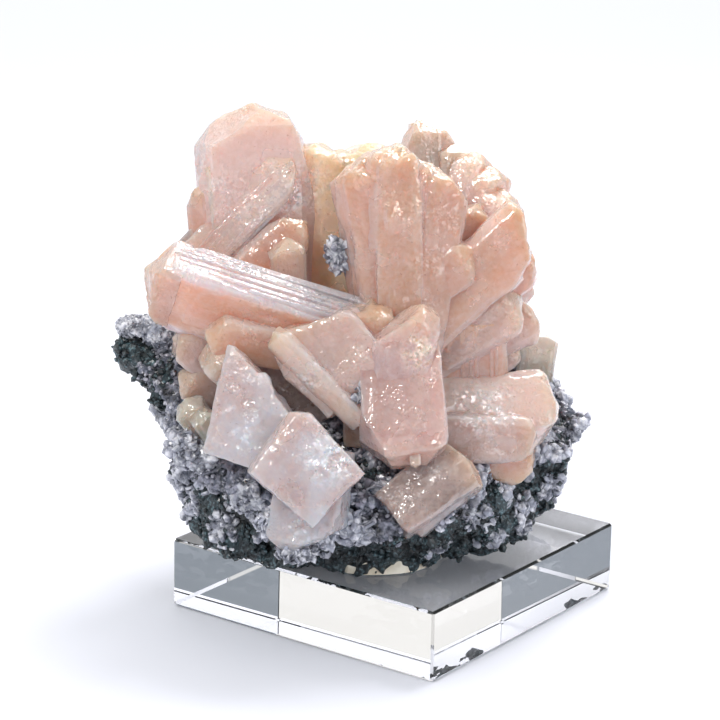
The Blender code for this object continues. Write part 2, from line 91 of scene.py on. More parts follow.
CLUSTER = (
    # the big six-sided tablet at the top left, and the narrow blade along its left side
    ("rose tablet", (-25, 3, 48), (-26.7, 5, 90.4), 21.4, 9, (0.12, -1, 0.1), 7, 4.8, -0.9, 3, 4.4),
    ("peach blade", (-33, 2, 54), (-35.6, 3.5, 77), 5, 6.5, (-0.4, -1, 0.1), 5, 1.5, 1),
    # the striated rods that lie across it, and the blade under them
    ("milky rods", (-38, -1.0, 61), (-18.8, 1.2, 81), 8.6, 3, (-0.1, -1, 0.2), 4, 5, 0, 1),
    ("peach blade", (-31, -3.2, 57), (-16.6, -0.6, 70.6), 9, 4.4, (-0.1, -1, 0.2), 4, 4, 0, 1.6),
    # a bright plate in the left of the tablet, which stands for a highlight there: a painted highlight
    ("pale tablet", (-32.4, -0.5, 68), (-33.6, 0.3, 80.4), 2.4, 1.8, (0.12, -1, 0.1), 0.8, 1.2, 0, 0.4),
    # the long blade that points left, with its striated edge turned up, the smooth cap on its tip, and the
    # blade under it
    ("orange striped", (-4, -12.5, 50.5), (-44.8, -10.5, 62.5), 14, 8.5, (-0.08, -0.9, -0.42),
     5.5, 4, 0.5, 1.6),
    ("peach tablet", (-38.4, -10.8, 60.6), (-45.1, -10.4, 62.6), 14.4, 9.1, (-0.08, -0.9, -0.42),
     5.5, 4, 0.5, 1.8),
    ("orange blade", (-5, -14, 48.5), (-34, -14.5, 54.5), 8, 6, (0, -1, -0.25), 3, 3),
    # behind, between the tablet and the middle
    ("yellow blade", (-12, 6, 50), (-14.6, 9, 82.4), 10, 8, (0.1, -1, 0.1), 1.5, 4, -1),
    ("yellow blade", (-8, 8, 50), (-9.8, 11, 81), 7, 7, (0.3, -1, 0), 1, 3, -1),
    ("milky tablet", (-19, -1, 52), (-20.6, -4, 68), 6.6, 4.5, (0.15, -1, 0.3), 2.2, 1.4, 0.4, 0.6),
    # the thick blades in the middle
    ("peach sheaf", (0.5, -10, 47), (-1.4, -5.4, 86.2), 12, 12.5, (0.05, -1, 0.22), 3, 5, -0.6, 4.2),
    ("peach sheaf", (-0.5, -9, 47), (-7, -5.6, 84), 10, 10.5, (-0.25, -1, 0.2), 4, 3, 0.8, 3.4),
    ("peach sheaf", (2.4, -10, 49), (6.4, -4.8, 81.6), 10.5, 10.5, (0.3, -1, 0.2), 2.6, 5.5, -1.5, 3.6),
    ("peach blade", (-3, -8, 49), (-8.8, -3.4, 82), 8, 8, (-0.4, -1, 0.1), 3.4, 2, 0.8, 2),
    ("peach blade", (0, -9, 58), (13, -8, 68), 9, 8, (0.1, -1, 0.1), 3, 3.5, 0, 1.4),
    # the pale crystals at the back of the top
    ("cream tablet", (5, 6, 54), (4.6, 13, 86), 10.5, 6, (0.15, -1, 0.05), 3, 3.2, -2.2, 1, 2),
    ("cream tablet", (9, 5, 54), (9.4, 11, 82.4), 6.5, 6.5, (0.2, -1, 0), 2, 3, -0.5, 1),
    # plates that stand side by side and step down to the right
    ("peach blade", (6, 3, 55), (13, 9, 81.2), 9, 5, (0.85, -0.45, -0.1), 3, 2, 0, 1),
    ("peach blade", (8, 2, 54), (16.6, 8, 78.8), 9.5, 5, (0.85, -0.45, -0.2), 3, 2, 0, 1),
    ("peach blade", (8, 1, 52), (19.2, 5.5, 75.6), 10, 5.5, (0.8, -0.5, -0.3), 3, 3),
    ("peach blade", (6, -3, 52), (13.5, 0, 74), 8, 7, (0.2, -1, 0.2), 2.5, 3.5, 0, 1.4),
    # the blades that point up to the right
    ("peach blade", (1, -9, 51), (23, -4.5, 72), 12, 9, (-0.1, -1, 0.15), 0.8, 6.5, -3.5, 2),
    ("peach blade", (6, -4, 51), (23.6, -0.5, 66), 9, 6, (0, -1, 0.1), 2, 3.5, -1),
    ("pink blade", (3, -8, 47), (21.4, -6, 58.5), 9.5, 8, (0, -1, 0.1), 2.5, 3.5, 0, 1.4),
    ("pink blade", (9, -3, 47), (24.6, 1, 54), 9, 6, (0.1, -1, 0.1), 3, 2.5, 0, 2),
    # upright crystals below the middle, one with its lower end in view
    ("pink blade", (-1, -19, 37), (0.9, -20.5, 61), 11.8, 8, (0.05, -1, 0.05), 7, 1.6, 2.4, 2),
    ("pink tablet", (-0.4, -17, 53), (1.2, -28.5, 32.2), 15.8, 8, (0, -0.9, 0.45), 6, 8, -0.6, 1, 0, 2.6),
    ("peach rods", (13, -5, 34), (12, -7.5, 57), 12, 8, (0.15, -1, 0), 2, 2),
    ("peach blade", (-5.5, -13, 34), (-6, -15.5, 60), 9, 8, (-0.1, -1, 0), 2, 1.2),
    # the broad blade left of the middle, and the sparkling bar along its lower edge
    ("rose blade", (-6.5, -20, 46), (-18.8, -16.5, 57.6), 18, 7, (-0.12, -1, 0.22), 2, 4.5, -2, 1.4),
    ("milky sheaf", (-6, -22.6, 41), (-22, -19.4, 55.6), 5, 5.4, (-0.3, -0.9, -0.1), 1.4, 1.8, 0.4, 1.2),
    # the brown blade behind, seen between its neighbours; its brown is partly its own tone and partly painted
    # shade of the gap it lies in
    ("brown blade", (-12, -8, 38), (-27, -12.5, 55), 12, 7, (-0.1, -1, 0.1), 3, 3),
    # the blades that point right
    ("milky blade", (4, -11, 38.4), (28.6, -6.5, 38.2), 14.5, 10, (0.05, -0.8, 0.55), 4, 5, 0.8, 2.4),
    ("pink blade", (3, -16, 37), (24.5, -12.5, 34.8), 9, 8, (0.05, -1, 0.1), 2.5, 4, 0, 1.4),
    ("orange blade", (6, -13, 34), (24.4, -11, 30.6), 9, 7, (0.1, -1, -0.1), 2, 2.5, 0, 1),
    # the brownish crystal at the foot
    ("brown blade", (-1, -26.5, 24.6), (12.4, -21.5, 34.4), 11, 9, (-0.1, -0.88, 0.46), 2, 2, 0.5, 1),
    # small blocky crystals at the left, below the long blade
    ("pink blade", (-26, -6, 41), (-39.6, -8.5, 52.5), 8, 8, (-0.2, -1, 0.2), 2.5, 2),
    ("milky blade", (-24, -9, 42), (-32.5, -15, 51.5), 9, 7, (-0.2, -1, 0.3), 2, 2.5),
    ("pink blade", (-24, -6, 38), (-38.6, -9, 44.5), 7.5, 6, (-0.2, -1, 0.1), 2, 3),
)
# The back, where blades fan out from the same middle.
BACK_BLADES = (
    ("peach blade", (-14, 3, 46), (-30, 21, 76), 14, 8, (-0.3, 1, -0.3), 4, 5, 1, 1.6),
    ("milky blade", (-6, 5, 46), (-7, 25, 79), 16, 9, (0.1, 1, -0.4), 5, 5, -1, 2),
    ("pink blade", (3, 5, 46), (14, 22, 72), 13, 8, (0.4, 1, -0.3), 4, 5, 0.5, 1.6),
    ("peach blade", (6, 3, 45), (22, 19, 59), 11, 8, (0.7, 0.8, -0.2), 4, 3),
    ("peach blade", (-16, 4, 44), (-36, 17, 60), 12, 8, (-0.6, 0.9, -0.2), 3, 4, 0, 1.6),
    ("orange blade", (-8, 8, 42), (-14, 30, 59), 14, 9, (-0.1, 0.8, -0.7), 4, 4, 0.5, 1.8),
    ("milky blade", (2, 8, 40), (10, 29, 53), 12, 8, (0.3, 0.8, -0.6), 4, 3, 0, 1.4),
    ("peach blade", (-18, 3, 48), (-37, 6, 69), 9, 7, (-0.6, 0.5, 0.3), 3, 3),
    ("pink blade", (8, 3, 40), (21.5, 10, 46), 8, 7, (0.4, -0.9, 0.3), 3, 3),
    ("yellow blade", (-2, 2, 60), (-6, 10, 83), 12, 8, (0, 1, 0.1), 4, 4, 0, 1.6),
)
FRONT_PAIR = (
    ("frost frosted", (-27, -26, 34), (-21.6, -21.5, 52.6), 15.5, 6, (-0.12, -0.93, 0.36),
     0.6, 8.5, -6.4, 1),
    ("frost frosted", (-10.2, -33, 30), (-22.8, -29.5, 41.4), 15, 9, (-0.16, -0.86, 0.5), 2.6, 4, 3.8, 0.9),
    # a third one under them
    ("frost frosted", (-13.5, -29.5, 38), (-16.2, -32.6, 19), 13, 7, (-0.2, -0.9, 0.36), 7, 4, 2, 0.6),
)
SIDE_CRYSTAL = (
    ("pale tablet", (24.4, 13.5, 35), (25.4, 15.5, 47.2), 7.6, 6, (0.1, -1, 0.1), 1.6, 2.6, -0.8, 0.8),
)
LEFT_CRYSTALS = (
    ("pale tablet", (-33, -13, 34.5), (-37.4, -15, 41.4), 5.4, 4, (-0.3, -1, 0.3), 1.4, 1.8, 0, 0.5),
    ("pale tablet", (-32, -14.6, 34), (-34.9, -16.8, 40.3), 4.6, 4, (0.15, -1, 0.35), 1.2, 1.4, 0.3, 0.5),
)

# The shape shared by all the crystals, as in the solids.
NARROWING = 0.84
CHISEL_DEPTH = 0.25
CHISEL_SLOPE = (0.7, 0.4)
SHOULDER_PLANE = (0.89, 0.45)
FRONT_EDGE_PLANE = (0.55, -0.835)
BACK_EDGE_PLANE = (0.6, 0.8)
BACK_BEVEL = 0.6
# Real edges are worn this round.
EDGE_WEAR = 0.2
# Small facets at a tip face this far to the sides, in degrees, lean this far to the front or back, and take
# off this share of the width.
CHIP_TURN = 80
CHIP_LEAN = 0.6
CHIP_SHARE = (0.02, 0.1)
# Crystals of this width and more have the full swells and bends of their habit.
FULL_SIZE = 16.0
# The faces are uneven at this step across and along the crystal, in layers of noise as uneven takes them: a
# grain size, how far it is drawn out along the crystal, and a height, which comes from the habit if left out.
LINE_STEP = (0.9, 1.7)
LINE_GRAIN = (0.9, 14)
DENTS = (1.7, 1.5, 0.35)
SWELL_GRAIN = (5.0, 1.8)
BEND_GRAIN = (7.0, 1)
WORN_SKIN = ((1.1, 3.0, 0.16), (2.6, 1.8, 0.34))
FROSTED_SKIN = ((0.7, 1.2, 0.1), (1.8, 1.3, 0.3))
# Each crystal takes its noise from a place of its own within this reach.
GUIDE_REACH = 90
# How far the tips of the small crystals lie from their middle, as a share of the width, how long their point
# is, the step of their faces, and their growth lines.
POINT_SHIFTS = (0.0, -0.25, 0.2, 0.38, -0.1)
SEED_POINT = 0.5
SEED_STEP = 0.2
SEED_LINES = (0.3, 5, 0.12)
# A blade's smaller crystals keep to this share of its width and thickness, and are this many degrees askew.
FIELD = 0.9
ASKEW = 1.5
# Plates: their thickness, the shares of the bevel and the width that they keep clear of, how far down the
# blade they end, and their length.
PLATE_THICK = 3
PLATE_BEVEL = 0.4
PLATE_FALL = 0.05
PLATE_STEPS = (0.03, 0.1, 0.25, 0.4)
PLATE_LENGTH = (0.75, 0.95)
# The points along the tip: their width and thickness, where each stands in its share of the width, how they
# keep to the chisel edge, how far they stray from it up or down, and their length.
CROWN_WIDTH = (0.12, 0.3)
CROWN_THICK = (0.25, 0.6)
CROWN_SPREAD = (0.2, 0.8)
CROWN_FIELD = 0.85
CROWN_FALL = 0.5
CROWN_STRAY = 0.5
CROWN_LENGTH = 0.4
# Ribs: their greatest width and its share of the blade's, how far they stand out, how far down they end, from
# the least to the most, and their length.
RIB_WIDTH = 3.0
RIB_SHARE = 0.3
RIB_PROUD = (0.02, 0.2)
RIB_FALL = (0.5, 0.35)
RIB_LENGTH = 0.85
SMOOTH_UNDER = math.radians(32)
GROWTH_SEED = 23


def linear(code):
    """An sRGB hex colour as linear light."""
    parts = [int(code[i : i + 2], 16) / 255 for i in (1, 3, 5)]
    return tuple(p / 12.92 if p <= 0.04045 else ((p + 0.055) / 1.055) ** 2.4 for p in parts)


TONES = {
    "peach": linear("#DAAA93"),
    "pink": linear("#D2AFA6"),
    "orange": linear("#EDB293"),
    "milky": linear("#EBCEC4"),
    "rose": linear("#E2C1B7"),
    "yellow": linear("#FBDAB4"),
    "brown": linear("#96807B"),
    "cream": linear("#C0AC9F"),
    "pale": linear("#D0C5B4"),
    "frost": linear("#D2BFBE"),
}
# Each crystal differs from its tone by this factor.
TONE_DRIFT = (0.97, 1.03)
# Faces that look sideways by this much are milkier than the broad ones, and their growth lines run across.
SIDE_TONE = linear("#E6DCDF")
SIDE_SHARE = 0.5
SIDE_FROM = 0.3
SIDE_SPAN = 0.5
SIDE_GRAIN = 0.7
# A striped crystal has streaks this wide from pink to white in a band at its edges, and they slant a little;
# the white is a painted highlight along its striations.
STREAK_HIGHLIGHT_TONES = linear("#ECCFD5"), linear("#FFF8FC")
STREAK_STEP = 0.35
STREAK_SLANT = 0.02
EDGE_BAND = 0.8
# Painted highlights and reflections, in gold or bluish white, mixed into the crystals' colour where they
# flash in the lights, and the faces there are made metallic: the place, how far it reaches, and its share.
PAINTED_HIGHLIGHTS = {
    linear("#F3FAFF"): (
        ((-12.0, -33.0, 37.5), 6.0, 1.0),
        ((-17.5, -33.0, 36.0), 3.0, 0.5),
        ((-15.5, -33.0, 25.0), 5.0, 0.7),
        ((-25.4, -28.0, 39.3), 4.0, 0.7),
        ((-24.0, -27.0, 44.0), 3.0, 0.35),
        ((14.9, -15.0, 41.1), 7.0, 0.6),
        ((-14.6, -22.0, 47.8), 4.5, 0.5),
        ((17.5, -7.0, 55.0), 1.8, 1.0),
        ((-34.0, -14.5, 55.0), 3.0, 0.7),
        ((-33.0, -1.5, 76.0), 3.0, 0.6),
        ((-16.6, 0.4, 76.0), 8.0, 0.6),
        ((-28.0, -1.0, 71.0), 8.0, 0.35),
        ((-21.5, 0.0, 78.0), 5.0, 0.3),
        ((-36.4, -14.2, 66.6), 5.5, 0.5),
        ((-29.4, -14.4, 64.5), 5.5, 0.5),
        ((-22.4, -14.8, 62.5), 5.5, 0.5),
        ((-15.4, -15.0, 60.4), 5.5, 0.5),
        ((-8.4, -15.2, 58.4), 5.0, 0.5),
    ),
    linear("#FFE9CF"): (
        ((-1.7, -8.0, 85.1), 5.5, 0.9),
        ((-6.7, -9.0, 80.8), 4.0, 0.7),
        ((2.7, -8.0, 82.5), 5.0, 0.8),
        ((0.0, -12.0, 76.0), 5.0, 0.3),
        ((11.8, 5.0, 78.7), 4.0, 0.4),
        ((15.3, 4.0, 76.3), 4.0, 0.3),
        ((18.0, 2.0, 73.3), 4.0, 0.3),
        ((21.0, -4.0, 69.0), 4.5, 0.7),
        ((3.2, -24.0, 53.7), 4.5, 0.9),
        ((-8.0, -21.0, 52.0), 3.0, 0.4),
    ),
}
# A painted highlight falls off from its place by this factor. Noise of this grain size, middle and spread
# breaks it up.
HIGHLIGHT_FALL = 1.6
HIGHLIGHT_GRAIN = 1.2
HIGHLIGHT_BREAKS = (0.55, 1.1)
# All the crystals glitter this much, in small facets.
GLITTER = 0.14
# How plainly the fine growth lines show on crystals of a habit, kept as the tint's alpha.
LINED = {"rods": 0.7, "striped": 1.0}
LINED_ELSE = 0.12


def mode(name):
    bpy.ops.object.mode_set(mode=name)


def nothing_selected():
    if bpy.context.mode != "OBJECT":
        mode("OBJECT")
    bpy.ops.object.select_all(action="DESELECT")


def only(obj):
    nothing_selected()
    obj.select_set(True)
    bpy.context.view_layer.objects.active = obj


def in_scene(obj, name=None):
    """Puts a new object in the scene, and names it."""
    obj.name = name or obj.name
    bpy.context.scene.collection.objects.link(obj)
    return obj


def apply_all(obj):
    only(obj)
    for modifier in list(obj.modifiers):
        bpy.ops.object.modifier_apply(modifier=modifier.name)


def edit_all():
    """Into edit mode, with all of the mesh selected."""
    mode("EDIT")
    bpy.ops.mesh.select_all(action="SELECT")


def cut(point, normal):
    """In edit mode, cuts away what lies beyond the plane and closes the cut."""
    bpy.ops.mesh.select_all(action="SELECT")
    bpy.ops.mesh.bisect(plane_co=point, plane_no=Vector(normal).normalized(), use_fill=True, clear_outer=True)


def new_piece(name):
    """The primitive that was just added, with its place and size in its mesh."""
    made = bpy.context.object
    made.name = name
    bpy.ops.object.transform_apply(location=True, rotation=True, scale=True)
    return made


def box(name, width, thick, length):
    """A box that stands on the origin."""
    nothing_selected()
    bpy.ops.mesh.primitive_cube_add(size=1, location=(0, 0, length / 2), scale=(width, thick, length))
    return new_piece(name)


def values_of(items, key, width=1, kind=float):
    """A number or a vector of each of a mesh's items, as an array."""
    values = np.empty(len(items) * width, kind)
    items.foreach_get(key, values)
    return values if width == 1 else values.reshape(-1, width)


def rough_at(points, size, seed):
    """Noise of this grain size at each point, from about -1 to 1."""
    shift = Vector((seed, seed * 1.7, -seed))
    return np.array([noise.noise(Vector(point) / size + shift) for point in points])


def slices(axis, start, stop, step):
    """In edit mode, edges across the solid every so often along an axis, so that its faces can be uneven."""
    normal = Vector((axis == "X", axis == "Y", axis == "Z"))
    count = max(1, round((stop - start) / step))
    for index in range(1, count):
        bpy.ops.mesh.select_all(action="SELECT")
        bpy.ops.mesh.bisect(plane_co=normal * (start + (stop - start) * index / count), plane_no=normal)


def uneven(solid, layers, dice, bends=False):
    """Moves the faces in and out by layers of noise, or bends the solid by noise that moves it sideways."""
    guide = in_scene(bpy.data.objects.new("guide", None))
    guide.location = [dice.uniform(-GUIDE_REACH, GUIDE_REACH) for _ in range(3)]
    for size, drawn_out, height in layers:
        texture = bpy.data.textures.new(f"{solid.name} grain", "CLOUDS")
        texture.noise_scale = size
        guide.scale = (1, 1, drawn_out)
        bpy.context.view_layer.update()
        bumps = solid.modifiers.new("Growth", "DISPLACE")
        bumps.texture = texture
        bumps.texture_coords = "OBJECT"
        bumps.texture_coords_object = guide
        bumps.strength = height
        bumps.mid_level = 0.5
        if bends:
            texture.cloud_type = "COLOR"
            bumps.direction = "RGB_TO_XYZ"
        else:
            texture.noise_depth = 1
        apply_all(solid)
        bpy.data.textures.remove(texture)
    bpy.data.objects.remove(guide, do_unlink=True)


def chip(made, width, dice):
    """In edit mode, one small facet across a corner or an edge near the tip."""
    turn = math.radians(dice.uniform(-CHIP_TURN, CHIP_TURN))
    normal = Vector((math.sin(turn), dice.uniform(-CHIP_LEAN, CHIP_LEAN), math.cos(turn))).normalized()
    depth = width * dice.uniform(*CHIP_SHARE)
    mode("OBJECT")
    reach = max(vert.co.dot(normal) for vert in made.data.vertices)
    mode("EDIT")
    cut(normal * (reach - depth), normal)


def crystal(name, one, dice):
    """The main crystal of a blade on its own axes: +Z to the tip, and its front looks along -Y."""
    length = (one.tip - one.root).length
    made = box(name, one.width, one.thick, length)
    half, deep = one.width / 2, one.thick / 2
    mode("EDIT")
    # the point, two faces that fall to the shoulders
    cut((one.apex, 0, length), (-one.left, 0, half + one.apex))
    cut((one.apex, 0, length), (one.right, 0, half - one.apex))
    if one.blunt:
        cut((0, 0, length - one.blunt), (0, 0, 1))
    if one.corner:
        fall = one.right * (half - one.corner - one.apex) / (half - one.apex)
        cut((half - one.corner, 0, length - fall), (SHOULDER_PLANE[0], 0, SHOULDER_PLANE[1]))
    # the chisel edge, front and back
    slope = min(one.left, one.right) * CHISEL_SLOPE[0] + CHISEL_SLOPE[1]
    for side in (-1, 1):
        cut((0, side * deep * CHISEL_DEPTH, length), (0, side * slope, deep * (1 - CHISEL_DEPTH)))
    # the sides draw in to the root
    lean = half * (1 - NARROWING) / length
    for side in (-1, 1):
        cut((side * half, 0, length), (side, 0, -lean))
        cut((side * (half - one.bevel), -deep, 0), (side * FRONT_EDGE_PLANE[0], FRONT_EDGE_PLANE[1], 0))
        back = (side * BACK_EDGE_PLANE[0], BACK_EDGE_PLANE[1], 0)
        cut((side * (half - one.bevel * BACK_BEVEL), deep, 0), back)
    habit = HABITS[one.habit]
    for _ in range(habit.chips):
        chip(made, one.width, dice)
    bpy.ops.mesh.select_all(action="SELECT")
    bpy.ops.mesh.bevel(offset=EDGE_WEAR, segments=2, affect="EDGES", clamp_overlap=True)
    slices("X", -half, half, LINE_STEP[0])
    slices("Y", -deep, deep, LINE_STEP[0])
    slices("Z", 0, length, LINE_STEP[1])
    mode("OBJECT")
    share = min(1.0, one.width / FULL_SIZE)
    uneven(made, ((*LINE_GRAIN, habit.lines), DENTS, (*SWELL_GRAIN, habit.swell * share)), dice)
    uneven(made, ((*BEND_GRAIN, habit.bent * share),), dice, bends=True)
    return made


def seedling(name, apex, dice):
    """A small crystal of width, depth and length 1 with its tip at the origin, a pattern for the others."""
    made = box(name, 1, 1, 1)
    edit_all()
    bpy.ops.transform.translate(value=(0, 0, -1))
    # the point, the chisel edge and the bevels of the front edges
    for side in (-1, 1):
        cut((apex, 0, 0), (side * 0.3, 0, 0.5 - side * apex))
    for side in (-1, 1):
        cut((0, side * 0.2, 0), (0, side * 0.3, 0.4))
    for side in (-1, 1):
        cut((side * 0.38, -0.5, 0), (side * 0.6, -0.8, 0))
    bpy.ops.mesh.select_all(action="SELECT")
    bpy.ops.mesh.bevel(offset=0.04, segments=1, affect="EDGES", clamp_overlap=True)
    slices("X", -0.5, 0.5, SEED_STEP)
    slices("Z", -1, 0, SEED_STEP)
    mode("OBJECT")
    uneven(made, (SEED_LINES,), dice)
    return made


def grow_from(pattern, name, width, thick, length, place):
    """A copy of the seedling of this size, with its tip at the place."""
    made = in_scene(pattern.copy(), name)
    made.data = pattern.data.copy()
    point = width * SEED_POINT
    for vert in made.data.vertices:
        down = -vert.co.z
        # the point keeps its shape, and the rest is drawn out to the root
        low = point + (down - SEED_POINT) / (1 - SEED_POINT) * (length - point)
        vert.co = (vert.co.x * width, vert.co.y * thick, -(down * width if down < SEED_POINT else low))
    made.data.transform(place)
    return made


def painted_highlight_at(places, colour):
    """How much painted highlight each place has. The highlight's tone is painted into its colour there."""
    painted_highlight = np.zeros(len(places))
    for tone, highlight_spots in PAINTED_HIGHLIGHTS.items():
        for centre, reach, most in highlight_spots:
            off = np.linalg.norm(places - centre, axis=1)
            near = off < reach
            if near.any():
                broken = HIGHLIGHT_BREAKS[0] + HIGHLIGHT_BREAKS[1] * rough_at(places[near], HIGHLIGHT_GRAIN, 3)
                lit = np.clip((1 - off[near] / reach) * HIGHLIGHT_FALL * broken, 0, 1) * most
                # the highlight's tone is painted into the colour here
                colour[near] += (np.array(tone) - colour[near]) * lit[:, None]
                painted_highlight[near] = np.maximum(painted_highlight[near], lit)
    return painted_highlight


def marked(solid, length, one, dice):
    """Gives a crystal on its own axes its attributes.

    grain is in millimetres across and down from the tip. tint has the growth lines as its alpha, and the
    painted highlights are mixed into its colour. The other attribute has the share of painted highlight,
    which also makes the facets metallic, as its red and how far the facets lean as its green.
    """
    mesh = solid.data
    while mesh.uv_layers:
        mesh.uv_layers.remove(mesh.uv_layers[0])
    mesh.uv_layers.new(name="grain")
    mesh.attributes.new("tint", "FLOAT_COLOR", "CORNER")
    mesh.attributes.new("painted_highlight", "FLOAT_COLOR", "CORNER")
    corners = values_of(mesh.loops, "vertex_index", kind=int)
    x, y, z = values_of(mesh.vertices, "co", 3)[corners].T
    facing = np.abs(values_of(mesh.polygons, "normal", 3)[:, 0])
    to_side = np.repeat(facing, values_of(mesh.polygons, "loop_total", kind=int))
    across = np.where(to_side > SIDE_GRAIN, y, x) + dice.uniform(0, GUIDE_REACH)
    mesh.uv_layers["grain"].data.foreach_set("uv", np.stack([across, length - z], axis=1).ravel())
    tone = np.array([part * dice.uniform(*TONE_DRIFT) for part in TONES[one.tone]])
    share = np.clip((to_side - SIDE_FROM) / SIDE_SPAN, 0, 1) * SIDE_SHARE
    side_tone = np.array(SIDE_TONE)
    if one.habit == "striped":
        # the edge band's streaks run from pink to white, and the white is a painted highlight
        knots = np.arange(-one.thick, one.thick, STREAK_STEP)
        white = np.interp(y + z * STREAK_SLANT, knots, [dice.random() for _ in knots])[:, None]
        dull, bright = np.array(STREAK_HIGHLIGHT_TONES)
        side_tone = dull + (bright - dull) * white
        share = np.clip((np.abs(x) - one.width * NARROWING / 2 + EDGE_BAND) / EDGE_BAND, 0, 1)
    colour = tone + (side_tone - tone) * share[:, None]
    placed = np.array(placing(one))
    # painted highlights in gold and bluish white, at the places listed above
    painted_highlight = painted_highlight_at(np.stack([x, y, z], axis=1) @ placed[:3, :3].T + placed[:3, 3], colour)
    facets = np.clip(painted_highlight + GLITTER, 0, 1)
    lined = np.full(len(corners), LINED.get(one.habit, LINED_ELSE))
    for name, values in (("tint", [colour, lined]), ("painted_highlight", [painted_highlight, facets, painted_highlight, facets])):
        mesh.attributes[name].data.foreach_set("color", np.column_stack(values).ravel())


def placing(one):
    """The matrix from a crystal's own axes to its blade."""
    along = (one.tip - one.root).normalized()
    away = -(one.face - one.face.dot(along) * along).normalized()
    across = away.cross(along)
    return Matrix.Translation(one.root) @ Matrix((across, away, along)).transposed().to_4x4()


def roof(one, length, x):
    """The height of the blade's tip edge over this place across it."""
    half = one.width / 2
    if x < one.apex:
        return length - one.left * (one.apex - x) / (half + one.apex)
    return length - one.right * (x - one.apex) / (half - one.apex)


def smaller_ones(one, length, dice):
    """Where the smaller crystals of a blade stand: width, thickness, length, and the place of the tip."""
    half, deep = one.width / 2, one.thick / 2
    habit = HABITS[one.habit]
    for index in range(habit.plates):
        side = 1 if index % 4 == 3 else -1
        width = one.width * dice.uniform(*habit.width)
        thick = min(deep, PLATE_THICK)
        x = dice.uniform(-1, 1) * max(0.0, half * FIELD - width / 2 - one.bevel * PLATE_BEVEL)
        tip = roof(one, length, x) - one.width * PLATE_FALL
        tip -= length * dice.choice(PLATE_STEPS) * dice.random()
        y = side * (deep - thick / 2 + dice.uniform(*habit.proud))
        yield width, thick, tip * dice.uniform(*PLATE_LENGTH), (x, y, tip)
    for index in range(habit.crown):
        width = one.width * dice.uniform(*CROWN_WIDTH)
        x = (index + dice.uniform(*CROWN_SPREAD)) / habit.crown * one.width * FIELD - half * FIELD
        x = max(-half + width / 2, min(half - width / 2, x))
        thick = one.thick * dice.uniform(*CROWN_THICK)
        y = dice.uniform(-1, 1) * (deep * CROWN_FIELD - thick / 2)
        fall = abs(y) / deep * min(one.left, one.right) * CROWN_FALL
        tip = roof(one, length, x) - fall + dice.uniform(-CROWN_STRAY, CROWN_STRAY)
        yield width, thick, length * CROWN_LENGTH, (x, y, tip)
    for index in range(habit.ribs):
        side = -1 if index % 2 else 1
        width = min(RIB_WIDTH, one.width * RIB_SHARE)
        thick = one.thick * dice.uniform(*habit.rib)
        y = dice.uniform(-1, 1) * (deep * FIELD - thick / 2)
        x = side * (half - width / 2 + dice.uniform(*RIB_PROUD))
        tip = roof(one, length, x * FIELD) - dice.uniform(RIB_FALL[0], RIB_FALL[1] * length)
        yield width, thick, tip * RIB_LENGTH, (x, y, tip)


def bundle(name, one, patterns, dice):
    """A blade as it grows: one main crystal and smaller ones parallel to it, a degree or so askew."""
    length = (one.tip - one.root).length
    solids = [crystal(name, one, dice)]
    for index, (width, thick, tall, tip) in enumerate(smaller_ones(one, length, dice)):
        askew = Matrix.Rotation(math.radians(dice.uniform(-ASKEW, ASKEW)), 4, dice.choice("XY"))
        stand_at = Matrix.Translation(tip) @ askew
        solids.append(grow_from(dice.choice(patterns), f"{name}_{index}", width, thick, tall, stand_at))
    voxel = HABITS[one.habit].worn
    if voxel:
        solids = [joined(name, solids)]
        remesh(solids[0], voxel)
        uneven(solids[0], FROSTED_SKIN if one.habit == "frosted" else WORN_SKIN, dice)
    for solid in solids:
        marked(solid, length, one, dice)
        solid.data.transform(DISPLAY @ placing(one))
    return solids


def joined(name, solids):
    """One mesh of crystals that have grown through each other."""
    group = bpy.data.collections.new(name + "_growth")
    for solid in solids[1:]:
        group.objects.link(solid)
    made = solids[0]
    made.name = name
    union = made.modifiers.new("Grown together", "BOOLEAN")
    union.operation = "UNION"
    union.solver = "MANIFOLD"
    union.operand_type = "COLLECTION"
    union.collection = group
    apply_all(made)
    for solid in solids[1:]:
        bpy.data.objects.remove(solid, do_unlink=True)
    bpy.data.collections.remove(group)
    return made


def crystals(name, blades, patterns):
    dice = random.Random(f"{name} {GROWTH_SEED}")
    solids = []
    for index, row in enumerate(blades):
        solids += bundle(f"{name}_{index}", blade(*row), patterns, dice)
    made = joined(name, solids)
    only(made)
    bpy.ops.object.shade_smooth_by_angle(angle=SMOOTH_UNDER)
    return made


# Rock and crust.

ROCK_VOXEL = 0.55 * MM
CRUST_VOXEL = 0.5 * MM
# Their rough surfaces, and the finer one of separate lumps, as layers for roughen.
ROCK_ROUGH = (("CLOUDS", 4.5, 3.2, 0.5), ("VORONOI", 2.4, 2.2, 0.4), ("CLOUDS", 0.9, 0.8, 0.5))
CRUST_ROUGH = (("CLOUDS", 3.6, 2.8, 0.55), ("VORONOI", 2.0, 1.8, 0.4), ("CLOUDS", 0.8, 0.5, 0.5))
LUMP_ROUGH = (("CLOUDS", 1.6, 1.6, 0.5), ("CLOUDS", 0.6, 0.5, 0.5))
# Triangles are merged within this many metres. Hollows and tops are these percentiles of the heights, and a
# small crystal is about this much lighter or darker.
MERGED_UNDER = 1e-6
RAISED_BETWEEN = (4, 96)
SHADE_SPREAD = 0.2
# Granules stand on the rock up to this height.
GRANULE_TOP = 50
FLAKE_SIDES = 14
FLAKE_OVAL = 0.75
